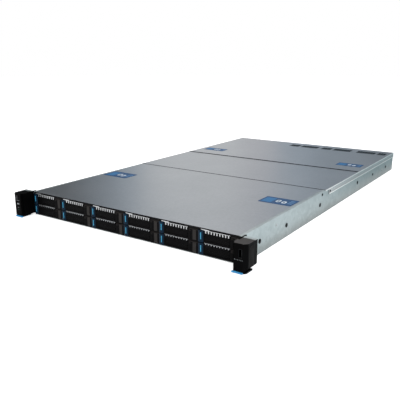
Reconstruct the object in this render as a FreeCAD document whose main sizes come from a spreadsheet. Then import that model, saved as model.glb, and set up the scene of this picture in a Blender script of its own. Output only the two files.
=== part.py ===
import FreeCAD, Part
import os
import re
import Sketcher

# One-unit rack server, 482.6 mm wide across its rack ears.
# X = 0 is the middle of the width, Y = 0 the rear face of the ears and Z = 0 the underside
# of the chassis.  The front looks towards -Y.  All sizes are in millimetres.

V = FreeCAD.Vector
doc = FreeCAD.newDocument("rack_server")
sheet = doc.addObject("Spreadsheet::Sheet", "Sizes")

COLUMNS, ROWS = 6, 2
FANS, BLADES = 6, 5
BAND_HOLES = 6
HUB_SIDES = 16
MOTOR_SIDES = 8
MODULES_PER_BANK = 6
HEATSINK_FINS = 13

# name, value or formula, meaning
SIZES = [
    # chassis
    ("chassis_width", 437, "outside of the folded side walls"),
    ("chassis_depth", 767, "front edge to rear edge"),
    ("unit_height", 43, "underside to top of covers"),
    ("front_lip", 2, "front edge ahead of the ears' rear faces"),
    ("skin", 0.8, "sheet metal"),
    ("lid_gap", 0.2, "between cover and chassis"),
    ("seam_gap", 0.4, "between two covers"),
    ("free_gap", 0.3, "between parts that move past each other"),
    ("pin_gap", 0.05, "radial clearance of a shaft in its bore"),
    ("top_fold", 4.7, "inward fold beside the front cover"),
    ("half_width", "=chassis_width / 2", "outer face of a side wall"),
    ("inner_half", "=half_width - skin", "inner face of a side wall"),
    ("front_y", "=-front_lip", "front edge"),
    ("rear_y", "=chassis_depth - front_lip", "rear edge"),
    ("lid_under", "=unit_height - skin", "underside of the covers"),
    ("wall_top", "=lid_under - lid_gap", "top of the side walls under a cover"),
    ("rail_hole_radius", 2.6, "holes for the slide rail"),
    ("rail_hole_z", 20, "height of the rail holes"),
    ("rail_hole_a", 50, "distance of each rail hole from the ears' rear faces"),
    ("rail_hole_b", 141, ""),
    ("rail_hole_c", 282, ""),
    ("rail_hole_d", 491, ""),
    # covers
    ("front_seam", 304, "joint between front and middle cover"),
    ("rear_seam", 490, "joint between middle and rear cover"),
    ("flange_start", 322, "front end of the middle cover's side flange"),
    ("flange_drop", 11, "height of the side flange"),
    ("hem_height", 1.6, "rolled hem along the flange's lower edge"),
    ("hem_thick", 0.5, "how far the hem stands out"),
    ("lip_drop", 1.9, "turned-down lip at the front"),
    ("lid_half", "=half_width + lid_gap + skin", "outer face of a side flange"),
    ("vent_back", 47, "front end of the vents from the rear edge"),
    ("vent_y", "=rear_y - vent_back", "front end of the rear cover's vents"),
    ("vent_length", 17, "length of a vent slot"),
    ("vent_width", 3.6, "width of a vent slot"),
    ("vent_pitch", 6.5, "from slot to slot"),
    ("vent_side", 26.5, "last field of slots from the cover's side"),
    ("vent_step_a", 89, "from each field of slots to the next"),
    ("vent_step_b", 94, ""),
    ("vent_step_c", 52, ""),
    ("vent_d", "=lid_half - vent_side", "left edge of each field of slots"),
    ("vent_c", "=vent_d - vent_step_c", ""),
    ("vent_b", "=vent_c - vent_step_b", ""),
    ("vent_a", "=vent_b - vent_step_a", ""),
    # power supplies
    ("supply_width", 73.5, ""),
    ("supply_height", 39.6, ""),
    ("supply_length", 185, ""),
    ("supply_gap", 0.5, "beside each power supply"),
    ("supply_floor", 1.2, ""),
    ("inlet_left", 46, "mains inlet"),
    ("inlet_width", 22, ""),
    ("inlet_floor", 5, ""),
    ("inlet_height", 16, ""),
    ("inlet_depth", 14, ""),
    ("blade_pin", 2, "thickness of an inlet pin"),
    ("pin_height", 5, ""),
    ("pin_length", 10, ""),
    ("exhaust_x", 21, "middle of the exhaust"),
    ("exhaust_radius", 17.5, ""),
    ("exhaust_depth", 6, ""),
    ("handle_left", 44, ""),
    ("handle_width", 26, ""),
    ("handle_reach", 17, ""),
    ("handle_bar", 3, ""),
    ("handle_floor", 25, ""),
    ("handle_height", 8, ""),
    ("tab_left", 70.4, "release tab beside the handle"),
    ("tab_thick", 1.4, ""),
    ("tab_reach", 9, ""),
    ("supply_left", "=-inner_half + supply_gap", ""),
    ("supply_y", "=rear_y - supply_length", ""),
    ("supply_pitch", "=supply_width + supply_gap", ""),
    ("bay_wall", "=supply_left + 2 * supply_pitch", "wall beside the power supplies"),
    # sockets on the rear edge
    ("net_half", 8, "network socket"),
    ("net_height", 13.5, ""),
    ("usb_half", 7, ""),
    ("usb_height", 7, ""),
    ("port_wall", 1.2, ""),
    ("port_length", 21, ""),
    ("port_depth", 15, ""),
    ("port_proud", 1, "socket beyond the rear edge"),
    ("net_first", 21.2, "first network socket from the wall beside the supplies"),
    ("net_step_a", 20, "from socket to socket"),
    ("net_step_b", 17, ""),
    ("usb_first", 21, ""),
    ("usb_step", 18, ""),
    ("net_a_x", "=bay_wall + net_first", ""),
    ("net_b_x", "=net_a_x + net_step_a", ""),
    ("net_c_x", "=net_b_x + net_step_b", ""),
    ("usb_a_x", "=net_c_x + usb_first", ""),
    ("usb_b_x", "=usb_a_x + usb_step", ""),
    # rear panels
    ("panel_step", 12, "from the last socket to the panel over the card slots"),
    ("slot_panel_left", "=usb_b_x + panel_step", "left edge of that panel"),
    ("port_panel_floor", 20.6, "lower edge of the panel over the sockets"),
    ("panel_slot", 6, "width of a slot in the rear panels"),
    ("panel_pitch", 15, "from slot to slot"),
    ("panel_margin", 6, "solid border of the rear panels"),
    # drive bays
    ("cage_side", 1, "between the outermost bays and the sides of the chassis"),
    ("column_pitch", "=(chassis_width - 2 * cage_side) / %d" % COLUMNS, "from bay to bay"),
    ("row_pitch", 19.4, "from row to row"),
    ("row_floor", 1.3, "underside of the lower carriers"),
    ("carrier_height", 18.3, ""),
    ("bezel_gap", 0.2, "each side of a carrier's face"),
    ("divider", 0.5, "upright sheet between two columns"),
    ("divider_gap", 0.35, "between divider and carrier rail"),
    ("shelf_gap", 0.3, "above and below a carrier"),
    ("cage_front", 3, "front edge of dividers and shelf"),
    ("cage_roof", 0.6, "sheet over the cage"),
    ("bar_hole", 1.9, "flats of the holes in the bar above the bays"),
    ("bay_left", "=-column_pitch * 3", "left edge of the first bay"),
    ("bay_top", "=row_floor + row_pitch + carrier_height + shelf_gap", "clear height of the bays"),
    ("shelf_z", "=row_floor + carrier_height + shelf_gap", "underside of the shelf"),
    ("shelf_top", "=row_floor + row_pitch - shelf_gap", "top of the shelf"),
    ("roof_z", "=wall_top - cage_roof", "underside of the cage's roof"),
    # carrier
    ("face_y", -3, "front of lever and end block"),
    ("plate_y", 1, "front of the carrier's plate"),
    ("plate_thick", 1.6, ""),
    ("block_width", 16, "end block and the gap beside it"),
    ("block_left", "=column_pitch - block_width", "left side of the end block"),
    ("block_chamfer", 1.6, ""),
    ("band_bottom", 13.8, "lower edge of the perforated band"),
    ("band_y", -2.4, "front of the band"),
    ("hole_flats", 3.5, "hexagonal air holes in the band"),
    ("hole_start", 24.6, "middle of the first hole"),
    ("hole_pitch", "=(block_left - hole_start) / (%d - 0.5)" % BAND_HOLES, "from hole to hole"),
    ("rail_floor", 0.8, "underside of a carrier's rails"),
    ("rail_height", 13.4, ""),
    ("rail_end", 112, "rear end of a carrier's rails"),
    ("air_floor", 2.5, "window behind the lever"),
    ("air_top", 12, ""),
    ("air_margin", 4, ""),
    ("drive_side", 1.325, "from the edge of a bay to the drive"),
    ("drive_width", "=column_pitch - 2 * drive_side", "69.85 mm, standard 2.5 inch drive"),
    ("drive_length", 100.2, ""),
    ("drive_height", 15, ""),
    ("drive_y", 6, "front of the drive"),
    ("drive_floor", 1.5, ""),
    ("drive_step", 2.2, "height of the drive's step at the socket end"),
    ("drive_notch", 6.4, "depth of the socket end"),
    ("plate_back", "=plate_y + plate_thick", ""),
    ("rail_left", "=divider / 2 + divider_gap", "outer face of a rail"),
    ("drive_end", "=drive_y + drive_length", ""),
    # lever
    ("lever_left", 9.6, ""),
    ("lever_top", 13.4, ""),
    ("lever_thick", 2, ""),
    ("hinge_inset", 14.1, "hinge axis from the bay's right edge"),
    ("hinge_x", "=column_pitch - hinge_inset", "hinge axis from the bay's left edge"),
    ("knuckle", 1.6, "half the width of the lever's hinge end"),
    ("knuckle_chamfer", 0.7, ""),
    ("foot", 0.6, "foot under the knuckle"),
    ("mesh_margin", 2, "frame round the lever's recessed field"),
    ("mesh_recess", 0.7, ""),
    ("hinge_y", "=face_y + knuckle", ""),
    ("lever_floor", "=foot + free_gap", ""),
    # latch
    ("latch_left", 0.5, ""),
    ("latch_right", 9.2, ""),
    ("latch_front", -4.2, ""),
    ("latch_back", -1.8, ""),
    ("latch_crown", 2.4, "width of the flat along the middle"),
    ("latch_shoulder", 1.1, "how far the sides fall away"),
    ("latch_end_gap", 0.3, "above and below"),
    ("stem_wide", 2.4, ""),
    ("stem_tall", 8, ""),
    ("stem_end", 2.7, ""),
    ("latch_middle", "=(latch_left + latch_right) / 2", ""),
    ("stem_low", "=(carrier_height - stem_tall) / 2", ""),
    ("stem_high", "=(carrier_height + stem_tall) / 2", ""),
    # backplane
    ("plane_y", 113, "front of the board behind the bays"),
    ("board_thick", 1.6, ""),
    ("plane_air_inset", 4.5, "air window beside each socket"),
    ("plane_air_width", 25, ""),
    ("plane_air_floor", 5, ""),
    ("plane_air_top", 36, ""),
    ("plug_left", 6, "drive socket on the board"),
    ("plug_inset", 33.5, "right end of the socket from the bay's right edge"),
    ("plug_right", "=column_pitch - plug_inset", ""),
    ("plane_air_right", "=column_pitch - plane_air_inset", ""),
    ("plane_air_left", "=plane_air_right - plane_air_width", ""),
    ("plug_floor", 4, ""),
    ("plug_top", 9.5, ""),
    # fans
    ("fan_y", 131, "front of the fans"),
    ("fan_size", 40, ""),
    ("fan_depth", 28, ""),
    ("fan_bore", 19.2, "radius of the air way"),
    ("fan_floor", 1, "underside of the fans"),
    ("fan_side", 4, "left free at each side of the row of fans"),
    ("fan_pitch", "=(chassis_width - 2 * fan_side) / %d" % FANS, "from fan to fan"),
    ("hub_radius", 8.4, ""),
    ("hub_depth", 18, ""),
    ("hub_set_back", 2.5, "hub behind the front of the frame"),
    ("blade_height", 15, "blade along the shaft"),
    ("blade_sweep", 6.4, "half of the blade's run across the air"),
    ("blade_tip", 17.3, "distance of the flat tip from the shaft"),
    ("blade_set_in", 3.6, "blade's foot inside the hub"),
    ("blade_camber", 0.9, ""),
    ("blade_thick", 1.3, ""),
    ("shaft_radius", 1.5, ""),
    ("motor_radius", 8, ""),
    ("motor_depth", 6, ""),
    ("strut_width", 2.2, ""),
    ("strut_depth", 2.4, ""),
    ("blank_thick", 1, "sheet between two fans"),
    ("blank_gap", 0.5, ""),
    ("fan_mid", "=fan_floor + fan_size / 2", ""),
    ("fan_back", "=fan_y + fan_depth", ""),
    ("blade_root", "=hub_radius - blade_set_in", ""),
    # system board
    ("board_side", 7.5, "from the outside of the chassis to the board"),
    ("board_half", "=half_width - board_side", "half the width of the board"),
    ("board_y", 176, ""),
    ("board_z", 4.2, ""),
    ("board_gap", 4, "between the board and the power supplies"),
    ("board_step", "=supply_length + board_gap", "length of the part beside them"),
    ("io_gap", 7.2, "board from the wall beside the power supplies"),
    ("io_left", "=bay_wall + io_gap", "left edge of the board behind the sockets"),
    ("board_edge", 1, "between board and rear panel"),
    ("standoff_flats", 5.5, ""),
    ("standoff_inset", 12, ""),
    ("board_top", "=board_z + board_thick", ""),
    ("board_mid", "=rear_y - board_step", "rear edge beside the power supplies"),
    ("cpu_shift", 0.5, "processor outside the middle of its half of the board"),
    ("cpu_x", "=board_half / 2 + cpu_shift", ""),
    ("cpu_y", 330, ""),
    ("socket_half_width", 28, ""),
    ("socket_half_length", 38, ""),
    ("socket_height", 4, ""),
    ("sink_width", 78, ""),
    ("sink_length", 108, ""),
    ("sink_base", 5, ""),
    ("sink_height", 25, ""),
    ("fin_thick", 0.9, ""),
    ("module_length", 133.35, "memory module"),
    ("module_height", 31.25, ""),
    ("module_thick", 2.6, ""),
    ("module_pitch", 7.3, ""),
    ("slot_height", 6.5, ""),
    ("slot_wide", 5.4, ""),
    ("slot_end", 4, "slot beyond each end of a module"),
    ("slot_seat", 4, "part of the module inside its slot"),
    ("bank_near", 7.5, "first module from the middle of the board"),
    ("bank_gap", 7, "between heatsink and first module"),
    ("bridge_shift", 10, "bridge chip's cooler, from the second card socket"),
    ("bridge_y", 480, ""),
    ("bridge_size", 40, ""),
    ("part_height", 12, "tall parts on the board"),
    ("riser_inset", 91, "first card socket from the edge of the board"),
    ("riser_step", 70, "from card socket to card socket"),
    ("riser_back", 205, "front end of the card sockets from the rear edge"),
    ("riser_a", "=board_half - riser_inset", ""),
    ("riser_b", "=riser_a - riser_step", ""),
    ("riser_y", "=rear_y - riser_back", ""),
    ("bridge_x", "=riser_b + bridge_shift", ""),
    ("riser_length", 130, ""),
    ("riser_width", 8, ""),
    ("edge_inset", 12, "power sockets at the supplies"),
    ("edge_width", 50, ""),
    ("edge_depth", 16, ""),
    # ears
    ("ear_width", 20.3, "part of the ear outside its side plate"),
    ("ear_plate", 2.5, "plate along the chassis"),
    ("ear_depth", 30, ""),
    ("ear_floor", 2.7, ""),
    ("plate_front", 5, "front end of the side plate behind the ear's face"),
    ("plate_end", 5.5, "rear end of the side plate"),
    ("plate_drop", 0.4, "side plate below the top of the covers"),
    ("ear_corner", 5, "slanted front corner"),
    ("ear_bevel", 5, "slanted lower edge"),
    ("ear_inner", "=half_width + ear_plate", ""),
    ("ear_outer", "=ear_inner + ear_width", "241.3 mm, half of the rack width"),
    ("ear_front", "=-ear_depth", ""),
    ("release_height", 2.4, "release tab under the ear"),
    ("release_length", 20, ""),
    ("release_inset", 0.5, ""),
    ("release_edge", 2, ""),
    ("release_travel", 5, ""),
    ("guide_x", 10, "middle of the tab's guide from the ear's inner face"),
    ("guide_neck", 2, "half width of the neck"),
    ("guide_head", 4, "half width of the head"),
    ("guide_y", 7, "guide behind the ear's face"),
    ("guide_length", 10, ""),
    ("guide_split", 6, "underside of the head"),
    ("guide_top", 7.5, ""),
    ("button_x", 10.5, "power button from the ear's inner face"),
    ("button_z", 36.2, ""),
    ("button_radius", 3, ""),
    ("button_proud", 0.6, ""),
    ("button_cap", 3, "cap inside the ear"),
    ("button_travel", 1, ""),
    ("jack_x", 7.6, "front socket from the ear's inner face"),
    ("jack_width", 5.8, ""),
    ("jack_floor", 22.6, ""),
    ("jack_height", 12.8, ""),
    ("jack_depth", 14, ""),
]

NAMES = set()
for number, (alias, value, meaning) in enumerate(SIZES, start=1):
    sheet.set("A%d" % number, alias)
    sheet.set("B%d" % number, str(value))
    sheet.setAlias("B%d" % number, alias)
    sheet.set("C%d" % number, meaning)
    NAMES.add(alias)
doc.recompute()


# ------------------------------------------------------------------- helpers
def bound(text):
    """Turn 'column_pitch * 2' into 'Sizes.column_pitch * 2'."""
    def named(found):
        word = found.group(0)
        return "Sizes." + word if word in NAMES else word

    return re.sub(r"[a-z][a-z_]+", named, str(text))


def number_of(text):
    return float(sheet.evalExpression(bound(text)))


def bind(item, **pairs):
    for name, text in pairs.items():
        item.setExpression(name.replace("__", "."), bound(text))


def place(item, x, y, z):
    bind(item, Placement__Base__x=x, Placement__Base__y=y, Placement__Base__z=z)


def plus(start, run):
    """The two ends of a stretch that starts at start and is run long."""
    return (start, "%s + %s" % (start, run))


def about(middle, half):
    """The two ends of a stretch that lies evenly about its middle."""
    return ("%s - (%s)" % (middle, half), "%s + (%s)" % (middle, half))


TURN = {
    "x": FreeCAD.Rotation(V(0, 1, 0), 90),
    "y": FreeCAD.Rotation(V(1, 0, 0), -90),
    "z": FreeCAD.Rotation(),
}


def box(name, x, y, z):
    """A block given by its two ends along each axis."""
    item = doc.addObject("Part::Box", name)
    place(item, x[0], y[0], z[0])
    bind(item, Length="(%s) - (%s)" % (x[1], x[0]))
    bind(item, Width="(%s) - (%s)" % (y[1], y[0]))
    bind(item, Height="(%s) - (%s)" % (z[1], z[0]))
    return item


def rod(name, axis, at, radius, length):
    item = doc.addObject("Part::Cylinder", name)
    item.Placement = FreeCAD.Placement(V(), TURN[axis])
    place(item, *at)
    bind(item, Radius=radius, Height=length)
    return item


def prism(name, axis, at, flats, length, sides=6):
    """A prism of six or more sides; flats is the distance across two of them."""
    item = doc.addObject("Part::Prism", name)
    item.Polygon = sides
    item.Placement = FreeCAD.Placement(V(), TURN[axis])
    place(item, *at)
    bind(item, Circumradius="(%s) / 2 / cos(%s)" % (flats, 180 / sides), Height=length)
    return item


def compound(name, parts):
    item = doc.addObject("Part::Compound", name)
    item.Links = parts
    return item


def fuse(name, parts):
    item = doc.addObject("Part::MultiFuse", name)
    item.Shapes = parts
    item.Refine = True
    return item


def cut(name, base, tools):
    item = doc.addObject("Part::Cut", name)
    item.Base = base
    item.Tool = tools[0] if len(tools) == 1 else compound(name + "_tools", tools)
    item.Refine = True
    return item


def mirrored(name, source):
    """The same part on the other side of X = 0."""
    item = doc.addObject("Part::Mirroring", name)
    item.Source = source
    item.Normal = V(1, 0, 0)
    return item


def placed_copy(name, source, x, y, z, turn=None):
    item = doc.addObject("App::Link", name)
    item.LinkedObject = source
    if turn is not None:
        item.Placement = FreeCAD.Placement(V(), turn)
    place(item, x, y, z)
    return item


def new_body(name):
    return doc.addObject("PartDesign::Body", name)


def datum(body, role):
    """One of the body's own origin planes or axes."""
    return [item for item in body.Origin.OriginFeatures if item.Role == role][0]


def new_sketch(body, name, role, offset):
    sketch = body.newObject("Sketcher::SketchObject", name)
    sketch.AttachmentSupport = [(datum(body, role), "")]
    sketch.MapMode = "FlatFace"
    sketch.setExpression("AttachmentOffset.Base.z", bound(offset))
    return sketch


def tie(sketch, index, point, across, up):
    """Fix a sketch point at two distances from the origin, both read from the sheet."""
    for kind, text in (("DistanceX", across), ("DistanceY", up)):
        rule = sketch.addConstraint(Sketcher.Constraint(kind, -1, 1, index, point, number_of(text)))
        sketch.setExpression("Constraints[%d]" % rule, bound(text))


def outline(body, name, role, loops, offset="0"):
    """A sketch of closed outlines, each a list of corners bound to the sheet."""
    sketch = new_sketch(body, name, role, offset)
    first = 0
    for corners in loops:
        spots = [V(number_of(a), number_of(b), 0) for a, b in corners]
        count = len(spots)
        for i in range(count):
            sketch.addGeometry(Part.LineSegment(spots[i], spots[(i + 1) % count]), False)
        for i, (across, up) in enumerate(corners):
            after = first + (i + 1) % count
            sketch.addConstraint(Sketcher.Constraint("Coincident", first + i, 2, after, 1))
            tie(sketch, first + i, 1, across, up)
        first += count
    return sketch


def rings(body, name, role, circles, offset="0"):
    """A sketch of circles, each given by its middle and radius."""
    sketch = new_sketch(body, name, role, offset)
    for i, (across, up, radius) in enumerate(circles):
        middle = V(number_of(across), number_of(up), 0)
        sketch.addGeometry(Part.Circle(middle, V(0, 0, 1), number_of(radius)), False)
        tie(sketch, i, 3, across, up)
        rule = sketch.addConstraint(Sketcher.Constraint("Radius", i, number_of(radius)))
        sketch.setExpression("Constraints[%d]" % rule, bound(radius))
    return sketch


def rectangle(across, up):
    return [(across[0], up[0]), (across[1], up[0]), (across[1], up[1]), (across[0], up[1])]


def around(across, up, radius, sides):
    """Corners of a many-sided outline about a point."""
    turns = [360 * (k + 0.5) / sides for k in range(sides)]
    return [("%s + %s * cos(%s)" % (across, radius, t), "%s + %s * sin(%s)" % (up, radius, t))
            for t in turns]


def pad(body, sketch, length, back=False):
    """Material along the sketch's normal, or against it with back."""
    feature = body.newObject("PartDesign::Pad", sketch.Name + "_pad")
    feature.Profile = sketch
    feature.Reversed = back
    bind(feature, Length=length)
    doc.recompute()
    return feature


def pocket(body, sketch, length, back=False):
    """A cut against the sketch's normal, or along it with back."""
    feature = body.newObject("PartDesign::Pocket", sketch.Name + "_cut")
    feature.Profile = sketch
    feature.Reversed = back
    bind(feature, Length=length)
    doc.recompute()
    return feature


def round_edge(body, feature, x, y, radius):
    """Round the upright edge at x, y of the feature just made."""
    for number, edge in enumerate(feature.Shape.Edges, start=1):
        if all(abs(end.X - x) < 0.001 and abs(end.Y - y) < 0.001 for end in edge.Vertexes):
            fillet = body.newObject("PartDesign::Fillet", feature.Name + "_round")
            fillet.Base = (feature, ["Edge%d" % number])
            bind(fillet, Radius=radius)
            doc.recompute()
            return fillet
    raise RuntimeError("no upright edge to round on " + feature.Name)


def repeat(body, feature, axis, length, count):
    """Copies of a feature in a row along one of the body's axes."""
    row = body.newObject("PartDesign::LinearPattern", feature.Name + "_row")
    row.Originals = [feature]
    row.Direction = (datum(body, axis), [""])
    bind(row, Length=length)
    row.Occurrences = count
    body.Tip = row
    doc.recompute()
    return row


# -------------------------------------------------------------- chassis tray
def tray_sheets():
    """Floor, side walls and the folds beside the front cover, each flat stretch a solid of its own."""
    depth = ("front_y", "rear_y")
    wall = new_body("tray_wall")
    side = rectangle(depth, ("0", "wall_top"))
    pad(wall, outline(wall, "wall_side", "YZ_Plane", [side], "inner_half"), "skin")
    spots = [(y, "rail_hole_z", "rail_hole_radius")
             for y in ("rail_hole_a", "rail_hole_b", "rail_hole_c", "rail_hole_d")]
    pocket(wall, rings(wall, "rail_holes", "YZ_Plane", spots, "half_width"), "2 * skin")
    fold = new_body("tray_fold")
    top = [("half_width", "wall_top"), ("half_width", "unit_height"),
           ("inner_half - top_fold", "unit_height"),
           ("inner_half - top_fold", "lid_under"), ("inner_half", "lid_under"), ("inner_half", "wall_top")]
    pad(fold, outline(fold, "fold_end", "XZ_Plane", [top], "front_lip"),
        "front_seam - seam_gap / 2 + front_lip", back=True)
    floor = box("tray_floor", ("-inner_half", "inner_half"), depth, ("0", "skin"))
    return [floor, wall, fold, mirrored("tray_wall_left", wall), mirrored("tray_fold_left", fold)]


def slotted_panel(name, x, z):
    """A panel across the rear with a row of upright air slots."""
    deep = ("rear_y - skin", "rear_y")
    plate = box(name + "_plate", x, deep, z)
    count = int((number_of(x[1]) - number_of(x[0]) - 2 * number_of("panel_margin")) / number_of("panel_pitch"))
    slots = []
    for i in range(count):
        left = "%s + panel_margin + panel_pitch * %d" % (x[0], i)
        slots.append(box("%s_slot_%d" % (name, i), plus(left, "panel_slot"),
                         ("rear_y - 2 * skin", "rear_y + skin"),
                         ("%s + panel_margin" % z[0], "%s - panel_margin" % z[1])))
    return cut(name, plate, slots)


def chassis_tray():
    parts = tray_sheets() + [
        slotted_panel("slot_panel", ("slot_panel_left", "inner_half"), ("skin", "wall_top")),
        slotted_panel("port_panel", ("bay_wall + skin", "slot_panel_left"),
                      ("port_panel_floor", "wall_top")),
        box("port_post", ("bay_wall + skin", "net_a_x - net_half - free_gap"), ("rear_y - skin", "rear_y"),
            ("skin", "port_panel_floor")),
        box("supply_wall", plus("bay_wall", "skin"), ("supply_y", "rear_y"), ("skin", "wall_top - skin")),
    ]
    return compound("chassis_tray", parts)


# ---------------------------------------------------------------- drive cage
def bay_x(column, extra):
    return "bay_left + column_pitch * %d + %s" % (column, extra)


def drive_cage():
    inside = ("-inner_half", "inner_half")
    deep = ("cage_front", "plane_y")
    front = "front_y + lid_gap"
    bar = box("cage_bar_blank", inside, (front, "0"), ("bay_top", "roof_z"))
    holes = []
    for i in range(COLUMNS):
        for k in range(BAND_HOLES - 1):
            x = bay_x(i, "hole_start + hole_pitch * %s" % (k + 0.5))
            holes.append(prism("bar_hole_%d_%d" % (i, k), "y", (x, "front_y - 1", "(bay_top + roof_z) / 2"),
                                 "bar_hole", "front_lip + 2"))
    parts = [
        cut("cage_bar", bar, holes),
        box("cage_roof_sheet", inside, (front, "plane_y"), ("roof_z", "wall_top")),
        box("cage_shelf", inside, deep, ("shelf_z", "shelf_top")),
    ]
    for i in range(1, COLUMNS):
        x = about(bay_x(i, "0"), "divider / 2")
        parts.append(box("divider_low_%d" % i, x, deep, ("skin", "shelf_z")))
        parts.append(box("divider_high_%d" % i, x, deep, ("shelf_top", "roof_z")))
    return compound("drive_cage", parts)


# ------------------------------------------------------------------- carrier
def end_block():
    """Chamfered block at the carrier's right, with the room for the lever's hinge."""
    block = new_body("end_block")
    side = [("face_y", "0"), ("plate_y", "0"), ("plate_y", "carrier_height"),
            ("face_y + block_chamfer", "carrier_height"), ("face_y", "carrier_height - block_chamfer")]
    pad(block, outline(block, "block_side", "YZ_Plane", [side], "block_left"),
        "column_pitch - bezel_gap - block_left")
    room = rectangle(("block_left - 1", "hinge_x + knuckle + free_gap"),
                     ("face_y - 1", "hinge_y + knuckle + free_gap"))
    pocket(block, outline(block, "hinge_room", "XY_Plane", [room], "foot"), "lever_top + free_gap - foot",
           back=True)
    return block


def drive():
    """2.5 inch drive with the stepped end that takes the socket."""
    case = new_body("drive")
    side = [("drive_y", "drive_floor"), ("drive_end", "drive_floor"),
            ("drive_end", "drive_floor + drive_height - drive_step"),
            ("drive_end - drive_notch", "drive_floor + drive_height - drive_step"),
            ("drive_end - drive_notch", "drive_floor + drive_height"),
            ("drive_y", "drive_floor + drive_height")]
    pad(case, outline(case, "drive_side", "YZ_Plane", [side], "drive_side"), "drive_width")
    return case


def carrier():
    face = box("carrier_plate", ("bezel_gap", "column_pitch - bezel_gap"), ("plate_y", "plate_back"),
               ("0", "carrier_height"))
    band = box("carrier_band", ("lever_left", "block_left"), ("band_y", "plate_y"),
               ("band_bottom", "carrier_height"))
    rails = []
    for side, left in (("left", "rail_left"), ("right", "column_pitch - drive_side")):
        rails.append(box("carrier_rail_" + side, plus(left, "drive_side - rail_left"),
                         ("plate_y", "rail_end"), plus("rail_floor", "rail_height")))
    solid = fuse("carrier_solid", [face, band, end_block()] + rails)
    through = ("plate_y - 1", "plate_back + 1")
    holes = [
        box("stem_window", about("latch_middle", "stem_wide / 2 + free_gap"), through,
            ("stem_low - free_gap", "stem_high + free_gap")),
        box("air_window", ("lever_left + air_margin", "block_left - air_margin"), through,
            ("air_floor", "air_top")),
    ]
    for k in range(BAND_HOLES):
        at = ("hole_start + hole_pitch * %d" % k, "band_y - 1", "(band_bottom + carrier_height) / 2")
        holes.append(prism("band_hole_%d" % k, "y", at, "hole_flats", "plate_back - band_y + 2"))
    return compound("carrier_pattern", [cut("carrier_body", solid, holes), drive()])


def lever():
    """Swing-out lever: a plate whose knuckle turns between the carrier's foot and its band."""
    body = new_body("lever_pattern")
    plan = [("lever_left", "face_y"), ("hinge_x + knuckle - knuckle_chamfer", "face_y"),
            ("hinge_x + knuckle", "face_y + knuckle_chamfer"), ("hinge_x + knuckle", "hinge_y + knuckle"),
            ("hinge_x - knuckle + knuckle_chamfer", "hinge_y + knuckle"),
            ("hinge_x - knuckle - knuckle_chamfer", "face_y + lever_thick"),
            ("lever_left", "face_y + lever_thick")]
    plate = pad(body, outline(body, "lever_plan", "XY_Plane", [plan], "lever_floor"),
                "lever_top - lever_floor")
    round_edge(body, plate, number_of("hinge_x + knuckle"), number_of("hinge_y + knuckle"), "knuckle")
    field = rectangle(("lever_left + mesh_margin", "block_left - mesh_margin"),
                      ("lever_floor + mesh_margin", "lever_top - mesh_margin"))
    pocket(body, outline(body, "lever_field", "XZ_Plane", [field], "-face_y"), "mesh_recess")
    return body


def latch():
    """Push latch with a raised middle and a stem that runs through the carrier's plate."""
    body = new_body("latch_pattern")
    plan = [("latch_left", "latch_back"), ("latch_right", "latch_back"),
            ("latch_right", "latch_front + latch_shoulder"),
            ("latch_middle + latch_crown / 2", "latch_front"),
            ("latch_middle - latch_crown / 2", "latch_front"),
            ("latch_left", "latch_front + latch_shoulder")]
    pad(body, outline(body, "latch_plan", "XY_Plane", [plan], "latch_end_gap"),
        "carrier_height - 2 * latch_end_gap")
    stem = rectangle(about("latch_middle", "stem_wide / 2"), ("stem_low", "stem_high"))
    pad(body, outline(body, "latch_stem", "XZ_Plane", [stem], "-latch_back"), "stem_end - latch_back",
        back=True)
    return body


# ----------------------------------------------------------- inside the case
def drive_backplane():
    board = box("plane_board", about("0", "inner_half - lid_gap"), plus("plane_y", "board_thick"),
                ("skin", "roof_z"))
    windows = []
    sockets = []
    for i in range(COLUMNS):
        windows.append(box("plane_air_%d" % i, (bay_x(i, "plane_air_left"), bay_x(i, "plane_air_right")),
                           ("plane_y - 1", "plane_y + board_thick + 1"),
                           ("plane_air_floor", "plane_air_top")))
        for k in range(ROWS):
            floor = "row_floor + row_pitch * %d" % k
            name = "%d_%d" % (i, k)
            sockets.append(box("drive_socket_" + name, (bay_x(i, "plug_left"), bay_x(i, "plug_right")),
                               ("drive_end + free_gap", "plane_y"),
                               (floor + " + plug_floor", floor + " + plug_top")))
    return fuse("drive_backplane", [cut("plane_bored", board, windows)] + sockets)


def fan_x(i):
    return "fan_pitch * %s" % (i - (FANS - 1) / 2)


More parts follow.
